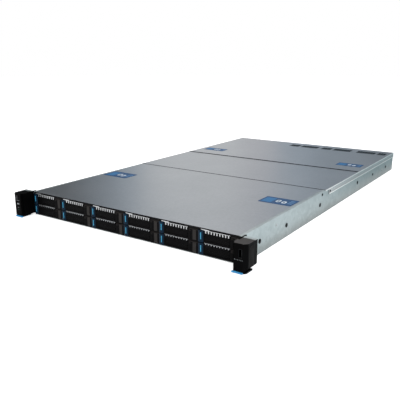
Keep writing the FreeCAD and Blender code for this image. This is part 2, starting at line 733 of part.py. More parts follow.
def fan_frames():
    """Square frames with a round air way; a cross of struts carries each motor."""
    frames, ways, spiders, bores = [], [], [], []
    for i in range(FANS):
        x = fan_x(i)
        frames.append(box("fan_case_%d" % i, about(x, "fan_size / 2"), ("fan_y", "fan_back"),
                          plus("fan_floor", "fan_size")))
        ways.append(rod("fan_way_%d" % i, "y", (x, "fan_y - 1", "fan_mid"), "fan_bore", "fan_depth + 2"))
        spiders.append(prism("fan_motor_%d" % i, "y", (x, "fan_back - motor_depth", "fan_mid"),
                             "2 * motor_radius", "motor_depth", MOTOR_SIDES))
        end = ("fan_back - strut_depth", "fan_back")
        spiders.append(box("fan_strut_flat_%d" % i, about(x, "fan_bore + skin / 2"), end,
                           about("fan_mid", "strut_width / 2")))
        spiders.append(box("fan_strut_up_%d" % i, about(x, "strut_width / 2"), end,
                           about("fan_mid", "fan_bore + skin / 2")))
        bores.append(prism("fan_bearing_%d" % i, "y", (x, "fan_back - motor_depth - 1", "fan_mid"),
                           "2 * (shaft_radius + pin_gap)", "motor_depth + 2", MOTOR_SIDES))
    for i in range(FANS + 1):
        left = fan_x(i - 1) + " + fan_size / 2" if i else "-inner_half + blank_gap"
        right = fan_x(i) + " - fan_size / 2" if i < FANS else "inner_half - blank_gap"
        frames.append(box("fan_blank_%d" % i, (left, right), ("fan_back - blank_thick", "fan_back"),
                          ("skin", "fan_floor + fan_size")))
    bored = cut("fan_bored", fuse("fan_blocks", frames), ways)
    return cut("fan_frames", fuse("fan_spiders", [bored] + spiders), bores)


def fan_rotor():
    """Hub, shaft and blades, built along Z; the placed copies turn it to face -Y."""
    body = new_body("rotor_pattern")
    pad(body, outline(body, "rotor_hub", "XY_Plane", [around("0", "0", "hub_radius", HUB_SIDES)]),
        "hub_depth")
    shaft = rings(body, "rotor_shaft", "XY_Plane", [("0", "0", "shaft_radius")], "hub_depth")
    pad(body, shaft, "fan_depth - hub_set_back - hub_depth")
    low, high = about("hub_depth / 2", "blade_height / 2")
    corners = [("-blade_sweep - blade_thick / 2", low), ("-blade_sweep + blade_thick / 2", low),
               ("blade_camber + blade_thick / 2", "hub_depth / 2"), ("blade_sweep + blade_thick / 2", high),
               ("blade_sweep - blade_thick / 2", high), ("blade_camber - blade_thick / 2", "hub_depth / 2")]
    blade = pad(body, outline(body, "blade", "YZ_Plane", [corners], "blade_root"), "blade_tip - blade_root")
    blades = body.newObject("PartDesign::PolarPattern", "blades")
    blades.Originals = [blade]
    blades.Axis = (datum(body, "Z_Axis"), [""])
    blades.Angle = 360
    blades.Occurrences = BLADES
    body.Tip = blades
    doc.recompute()
    return body


def module_places():
    """Middle of every memory module across the board: two banks each side of the middle."""
    banks = ("bank_near", "cpu_x + sink_width / 2 + bank_gap")
    steps = ["%s + module_pitch * %d" % (bank, i) for bank in banks for i in range(MODULES_PER_BANK)]
    return steps + ["-(%s)" % step for step in steps]


def memory_modules():
    floor = "board_top + slot_height"
    modules = [box("module_%d" % i, about(x, "module_thick / 2"), about("cpu_y", "module_length / 2"),
                   (floor, floor + " + module_height - slot_seat")) for i, x in enumerate(module_places())]
    return compound("memory_modules", modules)


def heatsinks():
    """Two finned coolers; a fin is drawn once and repeated across the base."""
    sink = new_body("heatsink_pattern")
    along = about("0", "sink_length / 2")
    left = "-sink_width / 2"
    pad(sink, outline(sink, "sink_base_plan", "XY_Plane", [rectangle(about("0", "sink_width / 2"), along)]),
        "sink_base")
    fin = outline(sink, "sink_fin", "XY_Plane", [rectangle(plus(left, "fin_thick"), along)], "sink_base")
    repeat(sink, pad(sink, fin, "sink_height - sink_base"), "X_Axis", "sink_width - fin_thick",
           HEATSINK_FINS)
    places = [placed_copy("heatsink_" + side, sink, x, "cpu_y", "board_top + socket_height")
              for side, x in (("left", "-cpu_x"), ("right", "cpu_x"))]
    return compound("heatsinks", places)


def system_board():
    main = box("board_main", about("0", "board_half"), ("board_y", "board_mid"), ("board_z", "board_top"))
    rear = box("board_rear", ("io_left", "board_half"), ("board_mid", "rear_y - skin - board_edge"),
               ("board_z", "board_top"))
    parts = [fuse("board_sheet", [main, rear])]
    corners = [(x, y) for y in ("board_y + standoff_inset", "board_mid - standoff_inset")
               for x in ("-board_half + standoff_inset", "0", "board_half - standoff_inset")]
    corners += [(x, "rear_y - 3 * standoff_inset")
                for x in ("io_left + standoff_inset", "board_half - standoff_inset")]
    for i, (x, y) in enumerate(corners):
        parts.append(prism("standoff_%d" % i, "z", (x, y, "skin"), "standoff_flats", "board_z - skin"))
    for side, x in (("left", "-cpu_x"), ("right", "cpu_x")):
        parts.append(box("cpu_socket_" + side, about(x, "socket_half_width"),
                         about("cpu_y", "socket_half_length"), plus("board_top", "socket_height")))
    for i, x in enumerate(module_places()):
        parts.append(box("memory_slot_%d" % i, about(x, "slot_wide / 2"),
                         about("cpu_y", "module_length / 2 + slot_end"), plus("board_top", "slot_height")))
    tall = plus("board_top", "part_height")
    parts.append(box("bridge_cooler", plus("bridge_x", "bridge_size"), plus("bridge_y", "bridge_size"),
                     tall))
    for name, x in (("a", "riser_a"), ("b", "riser_b")):
        parts.append(box("riser_socket_" + name, plus(x, "riser_width"), plus("riser_y", "riser_length"),
                         tall))
    for i in range(2):
        left = "supply_left + supply_pitch * %d + edge_inset" % i
        parts.append(box("power_edge_%d" % i, plus(left, "edge_width"),
                         ("board_mid - edge_depth", "board_mid"), tall))
    return compound("system_board", parts)


def rear_ports():
    """Socket shells along the rear edge of the board, open to the rear."""
    parts = []
    places = [(name, "net_half", "net_height") for name in ("net_a", "net_b", "net_c")]
    places += [(name, "usb_half", "usb_height") for name in ("usb_a", "usb_b")]
    end = "rear_y + port_proud"
    for name, half, height in places:
        shell = box(name + "_shell", about(name + "_x", half), (end + " - port_length", end),
                    plus("board_top", height))
        room = box(name + "_room", about(name + "_x", half + " - port_wall"),
                   (end + " - port_depth", end + " + 1"),
                   ("board_top + port_wall", "board_top + %s - port_wall" % height))
        parts.append(cut(name, shell, [room]))
    return compound("rear_ports", parts)


# ------------------------------------------------------------ power supplies
def power_supply():
    """Slide-in supply with inlet, exhaust, loop handle and release tab at its rear."""
    body = new_body("supply_pattern")
    end = "supply_length"
    face = rectangle(("0", "supply_width"), ("0", "supply_height"))
    pad(body, outline(body, "supply_case", "XZ_Plane", [face]), end, back=True)
    inlet = rectangle(plus("inlet_left", "inlet_width"), plus("inlet_floor", "inlet_height"))
    pocket(body, outline(body, "inlet_room", "XZ_Plane", [inlet], "-supply_length"), "inlet_depth",
           back=True)
    rim = around("exhaust_x", "supply_height / 2", "exhaust_radius", 24)
    pocket(body, outline(body, "exhaust_room", "XZ_Plane", [rim], "-supply_length"), "exhaust_depth",
           back=True)
    step = "(inlet_width - 3 * blade_pin) / 4"
    pins = []
    for i in range(3):
        left = "inlet_left + %s + (%s + blade_pin) * %d" % (step, step, i)
        floor = "inlet_floor + inlet_height / 2 %s" % ("" if i == 1 else "- pin_height")
        pins.append(rectangle(plus(left, "blade_pin"), plus(floor, "pin_height")))
    pad(body, outline(body, "inlet_pins", "XZ_Plane", pins, "inlet_depth - supply_length"), "pin_length",
        back=True)
    right = "handle_left + handle_width"
    loop = [("handle_left", end), ("handle_left", end + " + handle_reach"),
            (right, end + " + handle_reach"), (right, end),
            (right + " - handle_bar", end), (right + " - handle_bar", end + " + handle_reach - handle_bar"),
            ("handle_left + handle_bar", end + " + handle_reach - handle_bar"),
            ("handle_left + handle_bar", end)]
    pad(body, outline(body, "supply_handle", "XY_Plane", [loop], "handle_floor"), "handle_height")
    tab = rectangle(plus("tab_left", "tab_thick"), plus(end, "tab_reach"))
    pad(body, outline(body, "supply_tab", "XY_Plane", [tab], "inlet_floor"), "inlet_height")
    return body


# ----------------------------------------------------------------- rack ears
def ear_block(name):
    """Right-hand ear with its side plate; the left one is its mirror image."""
    body = new_body(name)
    plan = [("ear_inner", "0"), ("ear_inner", "ear_front"), ("ear_outer - ear_corner", "ear_front"),
            ("ear_outer", "ear_front + ear_corner"), ("ear_outer", "0")]
    pad(body, outline(body, name + "_plan", "XY_Plane", [plan], "ear_floor"), "unit_height - ear_floor")
    plate = rectangle(("half_width", "ear_inner"), ("ear_front + plate_front", "plate_end"))
    pad(body, outline(body, name + "_side", "XY_Plane", [plate], "ear_floor"),
        "unit_height - plate_drop - ear_floor")
    slant = [("ear_outer + 1", "ear_floor - 1"), ("ear_outer - ear_bevel - 1", "ear_floor - 1"),
             ("ear_outer + 1", "ear_floor + ear_bevel + 1")]
    pocket(body, outline(body, name + "_bevel", "XZ_Plane", [slant], "ear_depth + 1"), "ear_depth + 2")
    return body


def tab_guide(name, gap, run):
    """T-shaped guide of the release tab; with a gap and a longer run it is the slot in the ear."""
    y = ("ear_front + guide_y - %s" % gap, "ear_front + guide_y + guide_length + %s + %s" % (run, gap))
    middle = "ear_inner + guide_x"
    neck = box(name + "_neck", about(middle, "guide_neck + %s" % gap), y,
               ("release_height - skin", "guide_split"))
    head = box(name + "_head", about(middle, "guide_head + %s" % gap), y,
               ("guide_split - %s" % gap, "guide_top + %s" % gap))
    return [neck, head]


def left_ear():
    button = "ear_inner + button_x"
    holes = [
        fuse("left_ear_slot", tab_guide("left_ear_guide", "free_gap", "release_travel")),
        prism("button_way", "y", (button, "ear_front - 1", "button_z"), "2 * (button_radius + free_gap)",
              "1 + button_cap + button_travel + free_gap", 16),
    ]
    return cut("left_ear", ear_block("left_ear_block"), [fuse("left_ear_holes", holes)])


def right_ear():
    holes = [
        fuse("right_ear_slot", tab_guide("right_ear_guide", "free_gap", "release_travel")),
        box("jack_room", plus("ear_inner + jack_x", "jack_width"),
            ("ear_front - 1", "ear_front + jack_depth"), plus("jack_floor", "jack_height")),
    ]
    return cut("right_ear", ear_block("right_ear_block"), holes)


def handle_latch(name):
    plate = new_body(name + "_plate")
    front, back = "ear_front + 1", "ear_front + 1 + release_length"
    outer = "ear_outer - release_edge"
    plan = [("ear_inner + release_inset", front), ("ear_outer - ear_corner - release_inset", front),
            (outer, "ear_front + ear_corner"), (outer, back), ("ear_inner + release_inset", back)]
    pad(plate, outline(plate, name + "_plan", "XY_Plane", [plan]), "release_height")
    return fuse(name, [plate] + tab_guide(name + "_guide", "0", "0"))


def power_button():
    at = ("ear_inner + button_x", "ear_front - button_proud", "button_z")
    return prism("button", "y", at, "2 * button_radius", "button_proud + button_cap", 16)


# -------------------------------------------------------------------- covers
def front_cover():
    """Flat cover between the chassis folds, with a lip over the front edge."""
    body = new_body("front_cover")
    side = [("front_y - skin", "lid_under - lip_drop + skin"), ("front_y", "lid_under - lip_drop + skin"),
            ("front_y", "lid_under"), ("front_seam - seam_gap / 2", "lid_under"),
            ("front_seam - seam_gap / 2", "unit_height"), ("front_y - skin", "unit_height")]
    half = "inner_half - top_fold - lid_gap"
    pad(body, outline(body, "front_cover_side", "YZ_Plane", [side], "-(%s)" % half), "2 * (%s)" % half)
    return body


def folded_cover(name, start, end, flange_start):
    """Cover with side flanges outside the chassis walls; the flanges end in a hem."""
    body = new_body(name)
    deck = rectangle(about("0", "lid_half"), ("lid_under", "unit_height"))
    pad(body, outline(body, name + "_deck", "XZ_Plane", [deck], "-(%s)" % start),
        "%s - (%s)" % (end, start), back=True)
    low = "unit_height - flange_drop"
    flange = [("lid_half - skin", "lid_under"), ("lid_half - skin", low), ("lid_half + hem_thick", low),
              ("lid_half + hem_thick", low + " + hem_height"), ("lid_half", low + " + hem_height"),
              ("lid_half", "lid_under")]
    sketch = outline(body, name + "_flange", "XZ_Plane", [flange], "-(%s)" % flange_start)
    right = pad(body, sketch, "%s - (%s)" % (end, flange_start), back=True)
    both = body.newObject("PartDesign::Mirrored", name + "_flanges")
    both.Originals = [right]
    both.MirrorPlane = (datum(body, "YZ_Plane"), [""])
    body.Tip = both
    doc.recompute()
    return body


def middle_cover():
    return folded_cover("middle_cover", "front_seam + seam_gap / 2", "rear_seam - seam_gap / 2",
                        "flange_start")


def rear_cover():
    start = "rear_seam + seam_gap / 2"
    body = folded_cover("rear_cover", start, "rear_y", start)
    for field, count in (("vent_a", 12), ("vent_b", 12), ("vent_c", 7), ("vent_d", 3)):
        slot = rectangle(plus(field, "vent_width"), plus("vent_y", "vent_length"))
        first = pocket(body, outline(body, field + "_slot", "XY_Plane", [slot], "unit_height"), "2 * skin")
        repeat(body, first, "X_Axis", "vent_pitch * %d" % (count - 1), count)
    return body


# ------------------------------------------------------------- build the set
nodes = []


def keep(item, label=None):
    if label:
        item.Label = label
    nodes.append(item)


keep(chassis_tray())
keep(drive_cage())
carrier_shape, lever_shape, latch_shape = carrier(), lever(), latch()
for row in range(ROWS):
    for column in range(COLUMNS):
        tag = "%02d" % (row * COLUMNS + column + 1)
        spot = (bay_x(column, "0"), "0", "row_floor + row_pitch * %d" % row)
        keep(placed_copy("drive_carrier_" + tag, carrier_shape, *spot))
        keep(placed_copy("carrier_lever_" + tag, lever_shape, *spot))
        keep(placed_copy("carrier_latch_" + tag, latch_shape, *spot))
keep(drive_backplane())
keep(fan_frames())
rotor_shape = fan_rotor()
for i in range(FANS):
    keep(placed_copy("fan_rotor_%d" % (i + 1), rotor_shape, fan_x(i), "fan_y + hub_set_back", "fan_mid",
                     TURN["y"]))
keep(system_board())
keep(rear_ports())
keep(heatsinks())
keep(memory_modules())
supply_shape = power_supply()
for i in range(2):
    left = "supply_left + supply_pitch * %d" % i
    keep(placed_copy("power_supply_%d" % (i + 1), supply_shape, left, "supply_y", "supply_floor"))
keep(right_ear(), "right_rack_handle")
keep(mirrored("left_rack_handle", left_ear()))
keep(handle_latch("right_release"), "right_handle_latch")
keep(mirrored("left_handle_latch", handle_latch("left_release")))
keep(mirrored("power_button", power_button()))
keep(front_cover())
keep(middle_cover())
keep(rear_cover())
doc.recompute()

# ---------------------------------------------------------- check and export
for item in doc.Objects:
    if "Invalid" in item.State or "Error" in item.State:
        raise RuntimeError("%s (%s) is %s" % (item.Name, item.Label, item.State))

os.makedirs("parts", exist_ok=True)
for item in nodes:
    shape = Part.getShape(item)
    if shape.isNull() or not shape.isValid() or not shape.Solids:
        raise RuntimeError("%s has a bad shape" % item.Label)
    shape.exportStep("parts/%s.step" % item.Label)
print("exported", len(nodes), "nodes")
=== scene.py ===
# %% [markdown]
# # A one-unit rack server
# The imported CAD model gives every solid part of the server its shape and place. This lesson
# dresses it: it sets up a small studio, writes a material for every surface and adds the fine
# things that a modeller leaves to the render, such as punched mesh, labels, screws and chips.

# %% Load the frame
import math

import bmesh
import bpy
from mathutils import Matrix, Vector


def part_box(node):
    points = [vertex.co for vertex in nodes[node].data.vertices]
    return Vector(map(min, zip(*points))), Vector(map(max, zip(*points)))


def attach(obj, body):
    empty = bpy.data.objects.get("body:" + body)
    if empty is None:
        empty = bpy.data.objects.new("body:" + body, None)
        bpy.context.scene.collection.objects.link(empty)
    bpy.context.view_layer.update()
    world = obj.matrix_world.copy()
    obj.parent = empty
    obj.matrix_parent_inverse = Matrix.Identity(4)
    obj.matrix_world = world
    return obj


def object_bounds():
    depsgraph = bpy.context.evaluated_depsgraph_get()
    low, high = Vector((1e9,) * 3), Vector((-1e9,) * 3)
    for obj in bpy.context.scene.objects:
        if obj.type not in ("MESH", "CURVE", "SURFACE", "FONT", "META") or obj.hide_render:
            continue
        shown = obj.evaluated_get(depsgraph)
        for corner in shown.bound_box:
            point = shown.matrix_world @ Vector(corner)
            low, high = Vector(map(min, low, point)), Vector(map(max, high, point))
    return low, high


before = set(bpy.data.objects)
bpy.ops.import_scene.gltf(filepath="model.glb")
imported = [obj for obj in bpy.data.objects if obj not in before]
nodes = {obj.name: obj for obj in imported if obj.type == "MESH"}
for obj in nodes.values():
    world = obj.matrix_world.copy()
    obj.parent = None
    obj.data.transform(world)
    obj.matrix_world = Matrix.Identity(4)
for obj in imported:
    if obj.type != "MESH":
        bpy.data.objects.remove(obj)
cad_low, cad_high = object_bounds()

scene = bpy.context.scene
MM = 0.001


def corners(name):
    """The lowest and highest corners of a CAD node, in millimetres."""
    return [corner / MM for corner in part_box(name)]


print("server", [round(side / MM, 1) for side in (cad_high - cad_low)], "mm,", len(nodes), "nodes")

# %% [markdown]
# The camera stands to the right of the front, a little above the covers, as a customer looks
# at a server on a low table. A lens of about 48 mm keeps the long sides nearly parallel. It is
# made first, so that every later choice can be judged through it.

# %% Camera
EYE = Vector((557.2, -604.5, 285.6)) * MM
AIM = Vector((19.3, 187.7, 20.0)) * MM
lens = bpy.data.cameras.new("view")
lens.lens = 47.66
lens.sensor_width = 36
camera = bpy.data.objects.new("view", lens)
camera.location = EYE
camera.rotation_euler = (AIM - EYE).to_track_quat("-Z", "Y").to_euler()
scene.collection.objects.link(camera)
scene.camera = camera
scene.view_settings.view_transform = "Standard"
print("camera", round((AIM - EYE).length, 3), "m from the middle of the server")

# %% [markdown]
# Five small helpers serve every material. Colours are written as hex values, as in any paint
# program, and one function turns them into the linear numbers that Cycles works with.
# The second fills a node's inputs from values or from other nodes' outputs, and the third adds
# a node with its settings and has its inputs filled. The fourth starts a material with its
# surface shader, and the fifth turns the real size of a pattern's cell into the scale that a
# texture node wants.


# %% Colour and node helpers
def linear(code):
    """An sRGB hex colour as linear red, green, blue and alpha."""
    parts = [int(code[i:i + 2], 16) / 255 for i in (1, 3, 5)]
    return tuple(p / 12.92 if p <= 0.04045 else ((p + 0.055) / 1.055) ** 2.4 for p in parts) + (1,)


def feed(item, sources):
    """Fill a node's inputs from values or from other nodes' outputs."""
    for name, source in sources.items():
        if isinstance(source, bpy.types.NodeSocket):
            item.id_data.links.new(source, item.inputs[name])
        else:
            item.inputs[name].default_value = source


def add(tree, kind, sources=None, **settings):
    """A new node with its settings and with its inputs filled."""
    item = tree.nodes.new(kind)
    for name, value in settings.items():
        setattr(item, name, value)
    feed(item, sources or {})
    return item


def start(name, **values):
    """A material with a surface shader; returns it, its tree, the shader and Object coordinates."""
    material = bpy.data.materials.new(name)
    material.use_nodes = True
    tree = material.node_tree
    tree.nodes.clear()
    inputs = {key.replace("_", " "): value for key, value in values.items()}
    shader = add(tree, "ShaderNodeBsdfPrincipled", inputs)
    add(tree, "ShaderNodeOutputMaterial", {"Surface": shader.outputs["BSDF"]})
    return material, tree, shader, add(tree, "ShaderNodeTexCoord").outputs["Object"]


def per_metre(millimetres):
    """The texture scale that makes one cell of a pattern this wide."""
    return 1000 / millimetres


print("helpers ready, for example", [round(c, 3) for c in linear("#9b9fa3")])

# %% [markdown]
# The studio is plain: a pale surround, a pale floor and two large soft lamps. The surround
# shows as pure white to the camera and to reflections, while the light that it throws on the
# server stays at a normal level. The Light Path node says which kind of ray is asking.

# %% Surround
AMBIENT = 0.5
world = bpy.data.worlds.new("surround")
scene.world = world
world.use_nodes = True
world.node_tree.nodes.clear()
tree = world.node_tree
ray = add(tree, "ShaderNodeLightPath")
mirror_ray = add(tree, "ShaderNodeMath",
                 {0: ray.outputs["Is Glossy Ray"], 1: ray.outputs["Is Transmission Ray"]},
                 operation="MAXIMUM")
shown = add(tree, "ShaderNodeMath", {0: ray.outputs["Is Camera Ray"], 1: mirror_ray.outputs[0]},
            operation="MAXIMUM")
strength = add(tree, "ShaderNodeMath", {0: shown.outputs[0], 1: 1 - AMBIENT, 2: AMBIENT},
               operation="MULTIPLY_ADD")
sky = add(tree, "ShaderNodeBackground", {"Color": (1, 1, 1, 1), "Strength": strength.outputs[0]})
add(tree, "ShaderNodeOutputWorld", {"Surface": sky.outputs[0]})
print("surround lights the server at", AMBIENT)

# %% [markdown]
# The floor is painted a pale matt grey and takes the server's shadow. It has some light of its
# own, which only the camera's rays see in full and reflections see faintly. That brings it up
# to white where no shadow falls, and adds nothing to the diffuse light on the server.

# %% Floor
CAMERA_LIFT, MIRROR_LIFT = 0.66, 0.1
FLOOR_RADIUS, FLOOR_GAP = 6, 0.0004
# matt paint: an even pale grey that takes soft shadows
floor_finish, tree, shader, place = start("painted_studio_floor", Roughness=0.9)
ray = add(tree, "ShaderNodeLightPath")
mirrored = add(tree, "ShaderNodeMath", {0: ray.outputs["Is Glossy Ray"], 1: MIRROR_LIFT},
               operation="MULTIPLY")
lift = add(tree, "ShaderNodeMath",
           {0: ray.outputs["Is Camera Ray"], 1: CAMERA_LIFT, 2: mirrored.outputs[0]},
           operation="MULTIPLY_ADD")
feed(shader, {"Base Color": linear("#e4e4e4"), "Emission Color": (1, 1, 1, 1),
              "Emission Strength": lift.outputs[0]})


def stage_object(name, bm, finish, seen=True):
    """A floor, card or sheet of the studio; one that isn't seen shows in reflections only."""
    mesh = bpy.data.meshes.new(name)
    bm.to_mesh(mesh)
    bm.free()
    item = bpy.data.objects.new(name, mesh)
    mesh.materials.append(finish)
    if not seen:
        item.visible_camera = item.visible_diffuse = item.visible_shadow = False
    scene.collection.objects.link(item)


bm = bmesh.new()
bmesh.ops.create_circle(bm, cap_ends=True, segments=64, radius=FLOOR_RADIUS)
bmesh.ops.translate(bm, verts=bm.verts, vec=(0, 0.4, cad_low.z - FLOOR_GAP))
stage_object("floor", bm, floor_finish)
print("floor at", round(cad_low.z / MM, 2), "mm")

# %% [markdown]
# One wide lamp overhead and one to the front right light the plastics. Both are large, so
# their shadows are soft and their highlights broad.


# %% Lamps
def lamp(name, where, aim, size, power):
    """A soft rectangular lamp, turned towards a point."""
    light = bpy.data.lights.new(name, "AREA")
    light.shape = "RECTANGLE"
    light.size, light.size_y = size
    light.energy = power
    item = bpy.data.objects.new(name, light)
    item.location = where
    item.rotation_euler = (Vector(aim) - Vector(where)).to_track_quat("-Z", "Y").to_euler()
    scene.collection.objects.link(item)


lamp("overhead", (0.2, 0.2, 1.9), (0, 0.35, 0), (3.2, 3.2), 32)
lamp("front_right", (1.3, -1.6, 1.1), (0, 0.1, 0), (2.8, 2.0), 17)

# %% [markdown]
# Sheet steel shows mostly what it reflects. Behind the server stands a row of grey cards, out
# of the camera's sight, as light studios use them. A gap in the row lets the white surround
# through. The covers reflect all of it, so their sheen is bright where the gap is and falls
# away to both sides.

# %% Grey cards
BLACK = (0, 0, 0, 1)


def card(name, turn, half_angle, distance, top, tone, tint):
    """A flat card on end behind the server; turn is in degrees to the left of straight behind."""
    finish, tree, shader, place = start(name + "_board", Roughness=1.0)
    fade = add(tree, "ShaderNodeTexNoise", {"Vector": place, "Scale": 1.5})
    glow = add(tree, "ShaderNodeMath", {0: fade.outputs["Fac"], 1: 0.1 * tone, 2: 0.95 * tone},
               operation="MULTIPLY_ADD")
    feed(shader, {"Base Color": BLACK, "Emission Color": linear(tint),
                  "Emission Strength": glow.outputs[0]})
    width = 2 * distance * math.tan(math.radians(half_angle))
    bm = bmesh.new()
    bmesh.ops.create_grid(bm, x_segments=1, y_segments=1, size=0.5)
    bmesh.ops.scale(bm, vec=(width, top, 1), verts=bm.verts)
    bmesh.ops.rotate(bm, verts=bm.verts, matrix=Matrix.Rotation(math.radians(90), 3, "X"))
    bmesh.ops.translate(bm, verts=bm.verts, vec=(0, distance, top / 2))
    bmesh.ops.rotate(bm, verts=bm.verts, matrix=Matrix.Rotation(math.radians(turn), 3, "Z"))
    stage_object(name, bm, finish, seen=False)


CARD_DISTANCE, CARD_HEIGHT = 2.4, 2.2
COOL, NEUTRAL = "#d6e6f5", "#f3f0f3"
# each card: its two edges in degrees, its brightness and its tint
CARDS = ((-62, -25, 0.85, NEUTRAL), (-25, -16, 0.5, COOL), (-16, 8, 0.34, COOL), (8, 15, 0.5, COOL),
         (15, 20, 0.72, COOL), (20, 25, 0.9, NEUTRAL), (40, 44, 0.7, COOL), (44, 48.5, 0.34, COOL),
         (48.5, 100, 0.04, COOL))
for number, (near, far, tone, tint) in enumerate(CARDS, start=1):
    turn, half_angle = (near + far) / 2, (far - near) / 2
    card("grey_card_%d" % number, turn, half_angle, CARD_DISTANCE, CARD_HEIGHT, tone, tint)
print(len(CARDS), "cards behind the server")

# %% [markdown]
# One more sheet lies on the floor beside the right wall, also seen only in reflections. It is
# bright near the front, falls to a third of that towards the rear, and turns a little
# blue-green there. The galvanised wall mirrors it, so it darkens and cools along its length.

# %% Floor sheet
SHEET_SIZE, SHEET_MIDDLE, SHEET_GAP = (1.2, 2.2), (0.84, 1.0), 0.0002
sheet, tree, shader, place = start("grey_floor_sheet", Roughness=1.0)
parts = add(tree, "ShaderNodeSeparateXYZ", {"Vector": place})
fade = add(tree, "ShaderNodeMapRange", {"Value": parts.outputs["Y"], "From Min": 0.25, "From Max": 0.7,
                                        "To Min": 1.7, "To Max": 0.55}, interpolation_type="SMOOTHSTEP")
far = add(tree, "ShaderNodeMapRange", {"Value": parts.outputs["Y"], "From Min": 0.35, "From Max": 0.75})
mix = add(tree, "ShaderNodeMix", {"Factor": far.outputs[0], 6: linear("#e4ecf0"), 7: linear("#c6ecf6")},
          data_type="RGBA")
feed(shader, {"Base Color": BLACK, "Emission Color": mix.outputs[2],
              "Emission Strength": fade.outputs[0]})
bm = bmesh.new()
bmesh.ops.create_grid(bm, x_segments=1, y_segments=1, size=0.5)
bmesh.ops.scale(bm, vec=(*SHEET_SIZE, 1), verts=bm.verts)
bmesh.ops.translate(bm, verts=bm.verts, vec=(*SHEET_MIDDLE, cad_low.z - SHEET_GAP))
stage_object("floor_sheet", bm, sheet, seen=False)
print("floor sheet", SHEET_SIZE, "m")

# %% [markdown]
# The chassis is folded from galvanised steel: sheet that was dipped in molten zinc. The zinc
# freezes into flat crystals, called spangle, that differ a little in tone. Voronoi cells of
# about 7 mm give the crystals, and a fine noise gives the grain of the rolls.


# %% Galvanised steel
def zinc_sheet(name, dark, light, cell, rough, grain):
    """Zinc-coated sheet steel: crystals of two tones, rolled grain and a faint ripple."""
    material, tree, shader, place = start(name, Metallic=1.0)
    crystal = add(tree, "ShaderNodeTexVoronoi", {"Vector": place, "Scale": per_metre(cell)})
    spread = add(tree, "ShaderNodeMapping", {"Vector": place, "Scale": grain})
    rolled = add(tree, "ShaderNodeTexNoise",
                 {"Vector": spread.outputs[0], "Scale": per_metre(1), "Detail": 3.0})
    cloud = add(tree, "ShaderNodeTexNoise", {"Vector": place, "Scale": per_metre(90), "Detail": 2.0})
    tone = add(tree, "ShaderNodeMath", {0: crystal.outputs["Color"], 1: 0.3, 2: 0.12},
               operation="MULTIPLY_ADD")
    tone = add(tree, "ShaderNodeMath", {0: rolled.outputs["Fac"], 1: 0.38, 2: tone.outputs[0]},
               operation="MULTIPLY_ADD")
    tone = add(tree, "ShaderNodeMath", {0: cloud.outputs["Fac"], 1: 0.4, 2: tone.outputs[0]},
               operation="MULTIPLY_ADD")
    mix = add(tree, "ShaderNodeMix", {"Factor": tone.outputs[0], 6: linear(dark), 7: linear(light)},
              data_type="RGBA")
    gloss = add(tree, "ShaderNodeMath", {0: rolled.outputs["Fac"], 1: 0.14, 2: rough - 0.07},
                operation="MULTIPLY_ADD")
    bump = add(tree, "ShaderNodeBump",
               {"Height": rolled.outputs["Fac"], "Strength": 0.12, "Distance": 0.05 * MM})
    feed(shader, {"Base Color": mix.outputs[2], "Roughness": gloss.outputs[0],
                  "Normal": bump.outputs[0]})
    return material


# hot-dipped sheet: a mottled, slightly green grey
galvanised_steel = zinc_sheet("galvanised_steel_hot_dipped", "#7d8788", "#b4bbbb", 7, 0.46,
                              (0.6, 0.25, 0.6))
print("made", galvanised_steel.name)

# %% [markdown]
# The covers are a finer sheet, zinc-plated in a bath and brushed, so there is no spangle to
# see but a grain that runs across the width. The same recipe serves, with small crystals and
# a noise that is stretched along X.

# %% Brushed cover steel
# brushed sheet: a satin grey that takes up the cards' light and dark
cover_steel = zinc_sheet("zinc_plated_steel_brushed", "#868b90", "#a4a8ac", 3, 0.36, (0.05, 0.8, 0.8))
# the lower row's contact fingers: a plating painted darker than the upper row's, as the shade under the row
# above, with a grain that has no direction
lower_finger_shade_steel = zinc_sheet("zinc_plated_steel_painted_shade", "#8d9094", "#b4b7ba", 3, 0.34, (0.4, 0.4, 0.4))
# polished plating for small bright parts; on the upper row's fingers its paleness is also painted light
# from above
nickel_and_highlight_steel = zinc_sheet("polished_nickel_plated_steel_and_painted_highlight", "#c8cbce", "#dfe1e3", 3, 0.3, (0.4, 0.4, 0.4))
# rolled edges: a nearly white line along a fold, the painted highlight of its rounded edge
hem_highlight_steel = zinc_sheet("zinc_plated_steel_painted_highlight", "#f7f2ed", "#fffbf6", 3, 0.3, (0.4, 0.4, 0.4))
# the covers' folded sides: painted paler and a little warmer as the sheen of the light on them, with the
# grain along the fold
flange_sheen_steel = zinc_sheet("zinc_plated_steel_painted_sheen", "#a7a3a3", "#c5c0bf", 3, 0.34, (0.8, 0.2, 0.8))
print("made", cover_steel.name, "and four finishes for its edges and small parts")

# %% [markdown]
# Carriers, levers and ears are ABS, injection-moulded against an eroded tool. Such plastic is
# never a flat black: the tool leaves a fine dull grain, and the gloss changes from place to
# place. One function covers the moulded parts, with colour, gloss and grain as its choices.


# %% Moulded plastics
def moulded(name, dark, light, rough, grain_mm=0.6, strength=0.25, shine=0.18):
    """Injection-moulded plastic with an eroded grain; shine is how much of the studio it mirrors."""
    material, tree, shader, place = start(name, IOR=1.53, Specular_IOR_Level=shine)
    grain = add(tree, "ShaderNodeTexNoise", {"Vector": place, "Scale": per_metre(grain_mm), "Detail": 2.0})
    cloud = add(tree, "ShaderNodeTexNoise", {"Vector": place, "Scale": per_metre(18), "Detail": 3.0})
    mix = add(tree, "ShaderNodeMix", {"Factor": cloud.outputs["Fac"], 6: linear(dark), 7: linear(light)},
              data_type="RGBA")
    gloss = add(tree, "ShaderNodeMath", {0: cloud.outputs["Fac"], 1: 0.16, 2: rough - 0.08},
                operation="MULTIPLY_ADD")
    bump = add(tree, "ShaderNodeBump",
               {"Height": grain.outputs["Fac"], "Strength": strength, "Distance": 0.05 * MM})
    feed(shader, {"Base Color": mix.outputs[2], "Roughness": gloss.outputs[0],
                  "Normal": bump.outputs[0]})
    return material


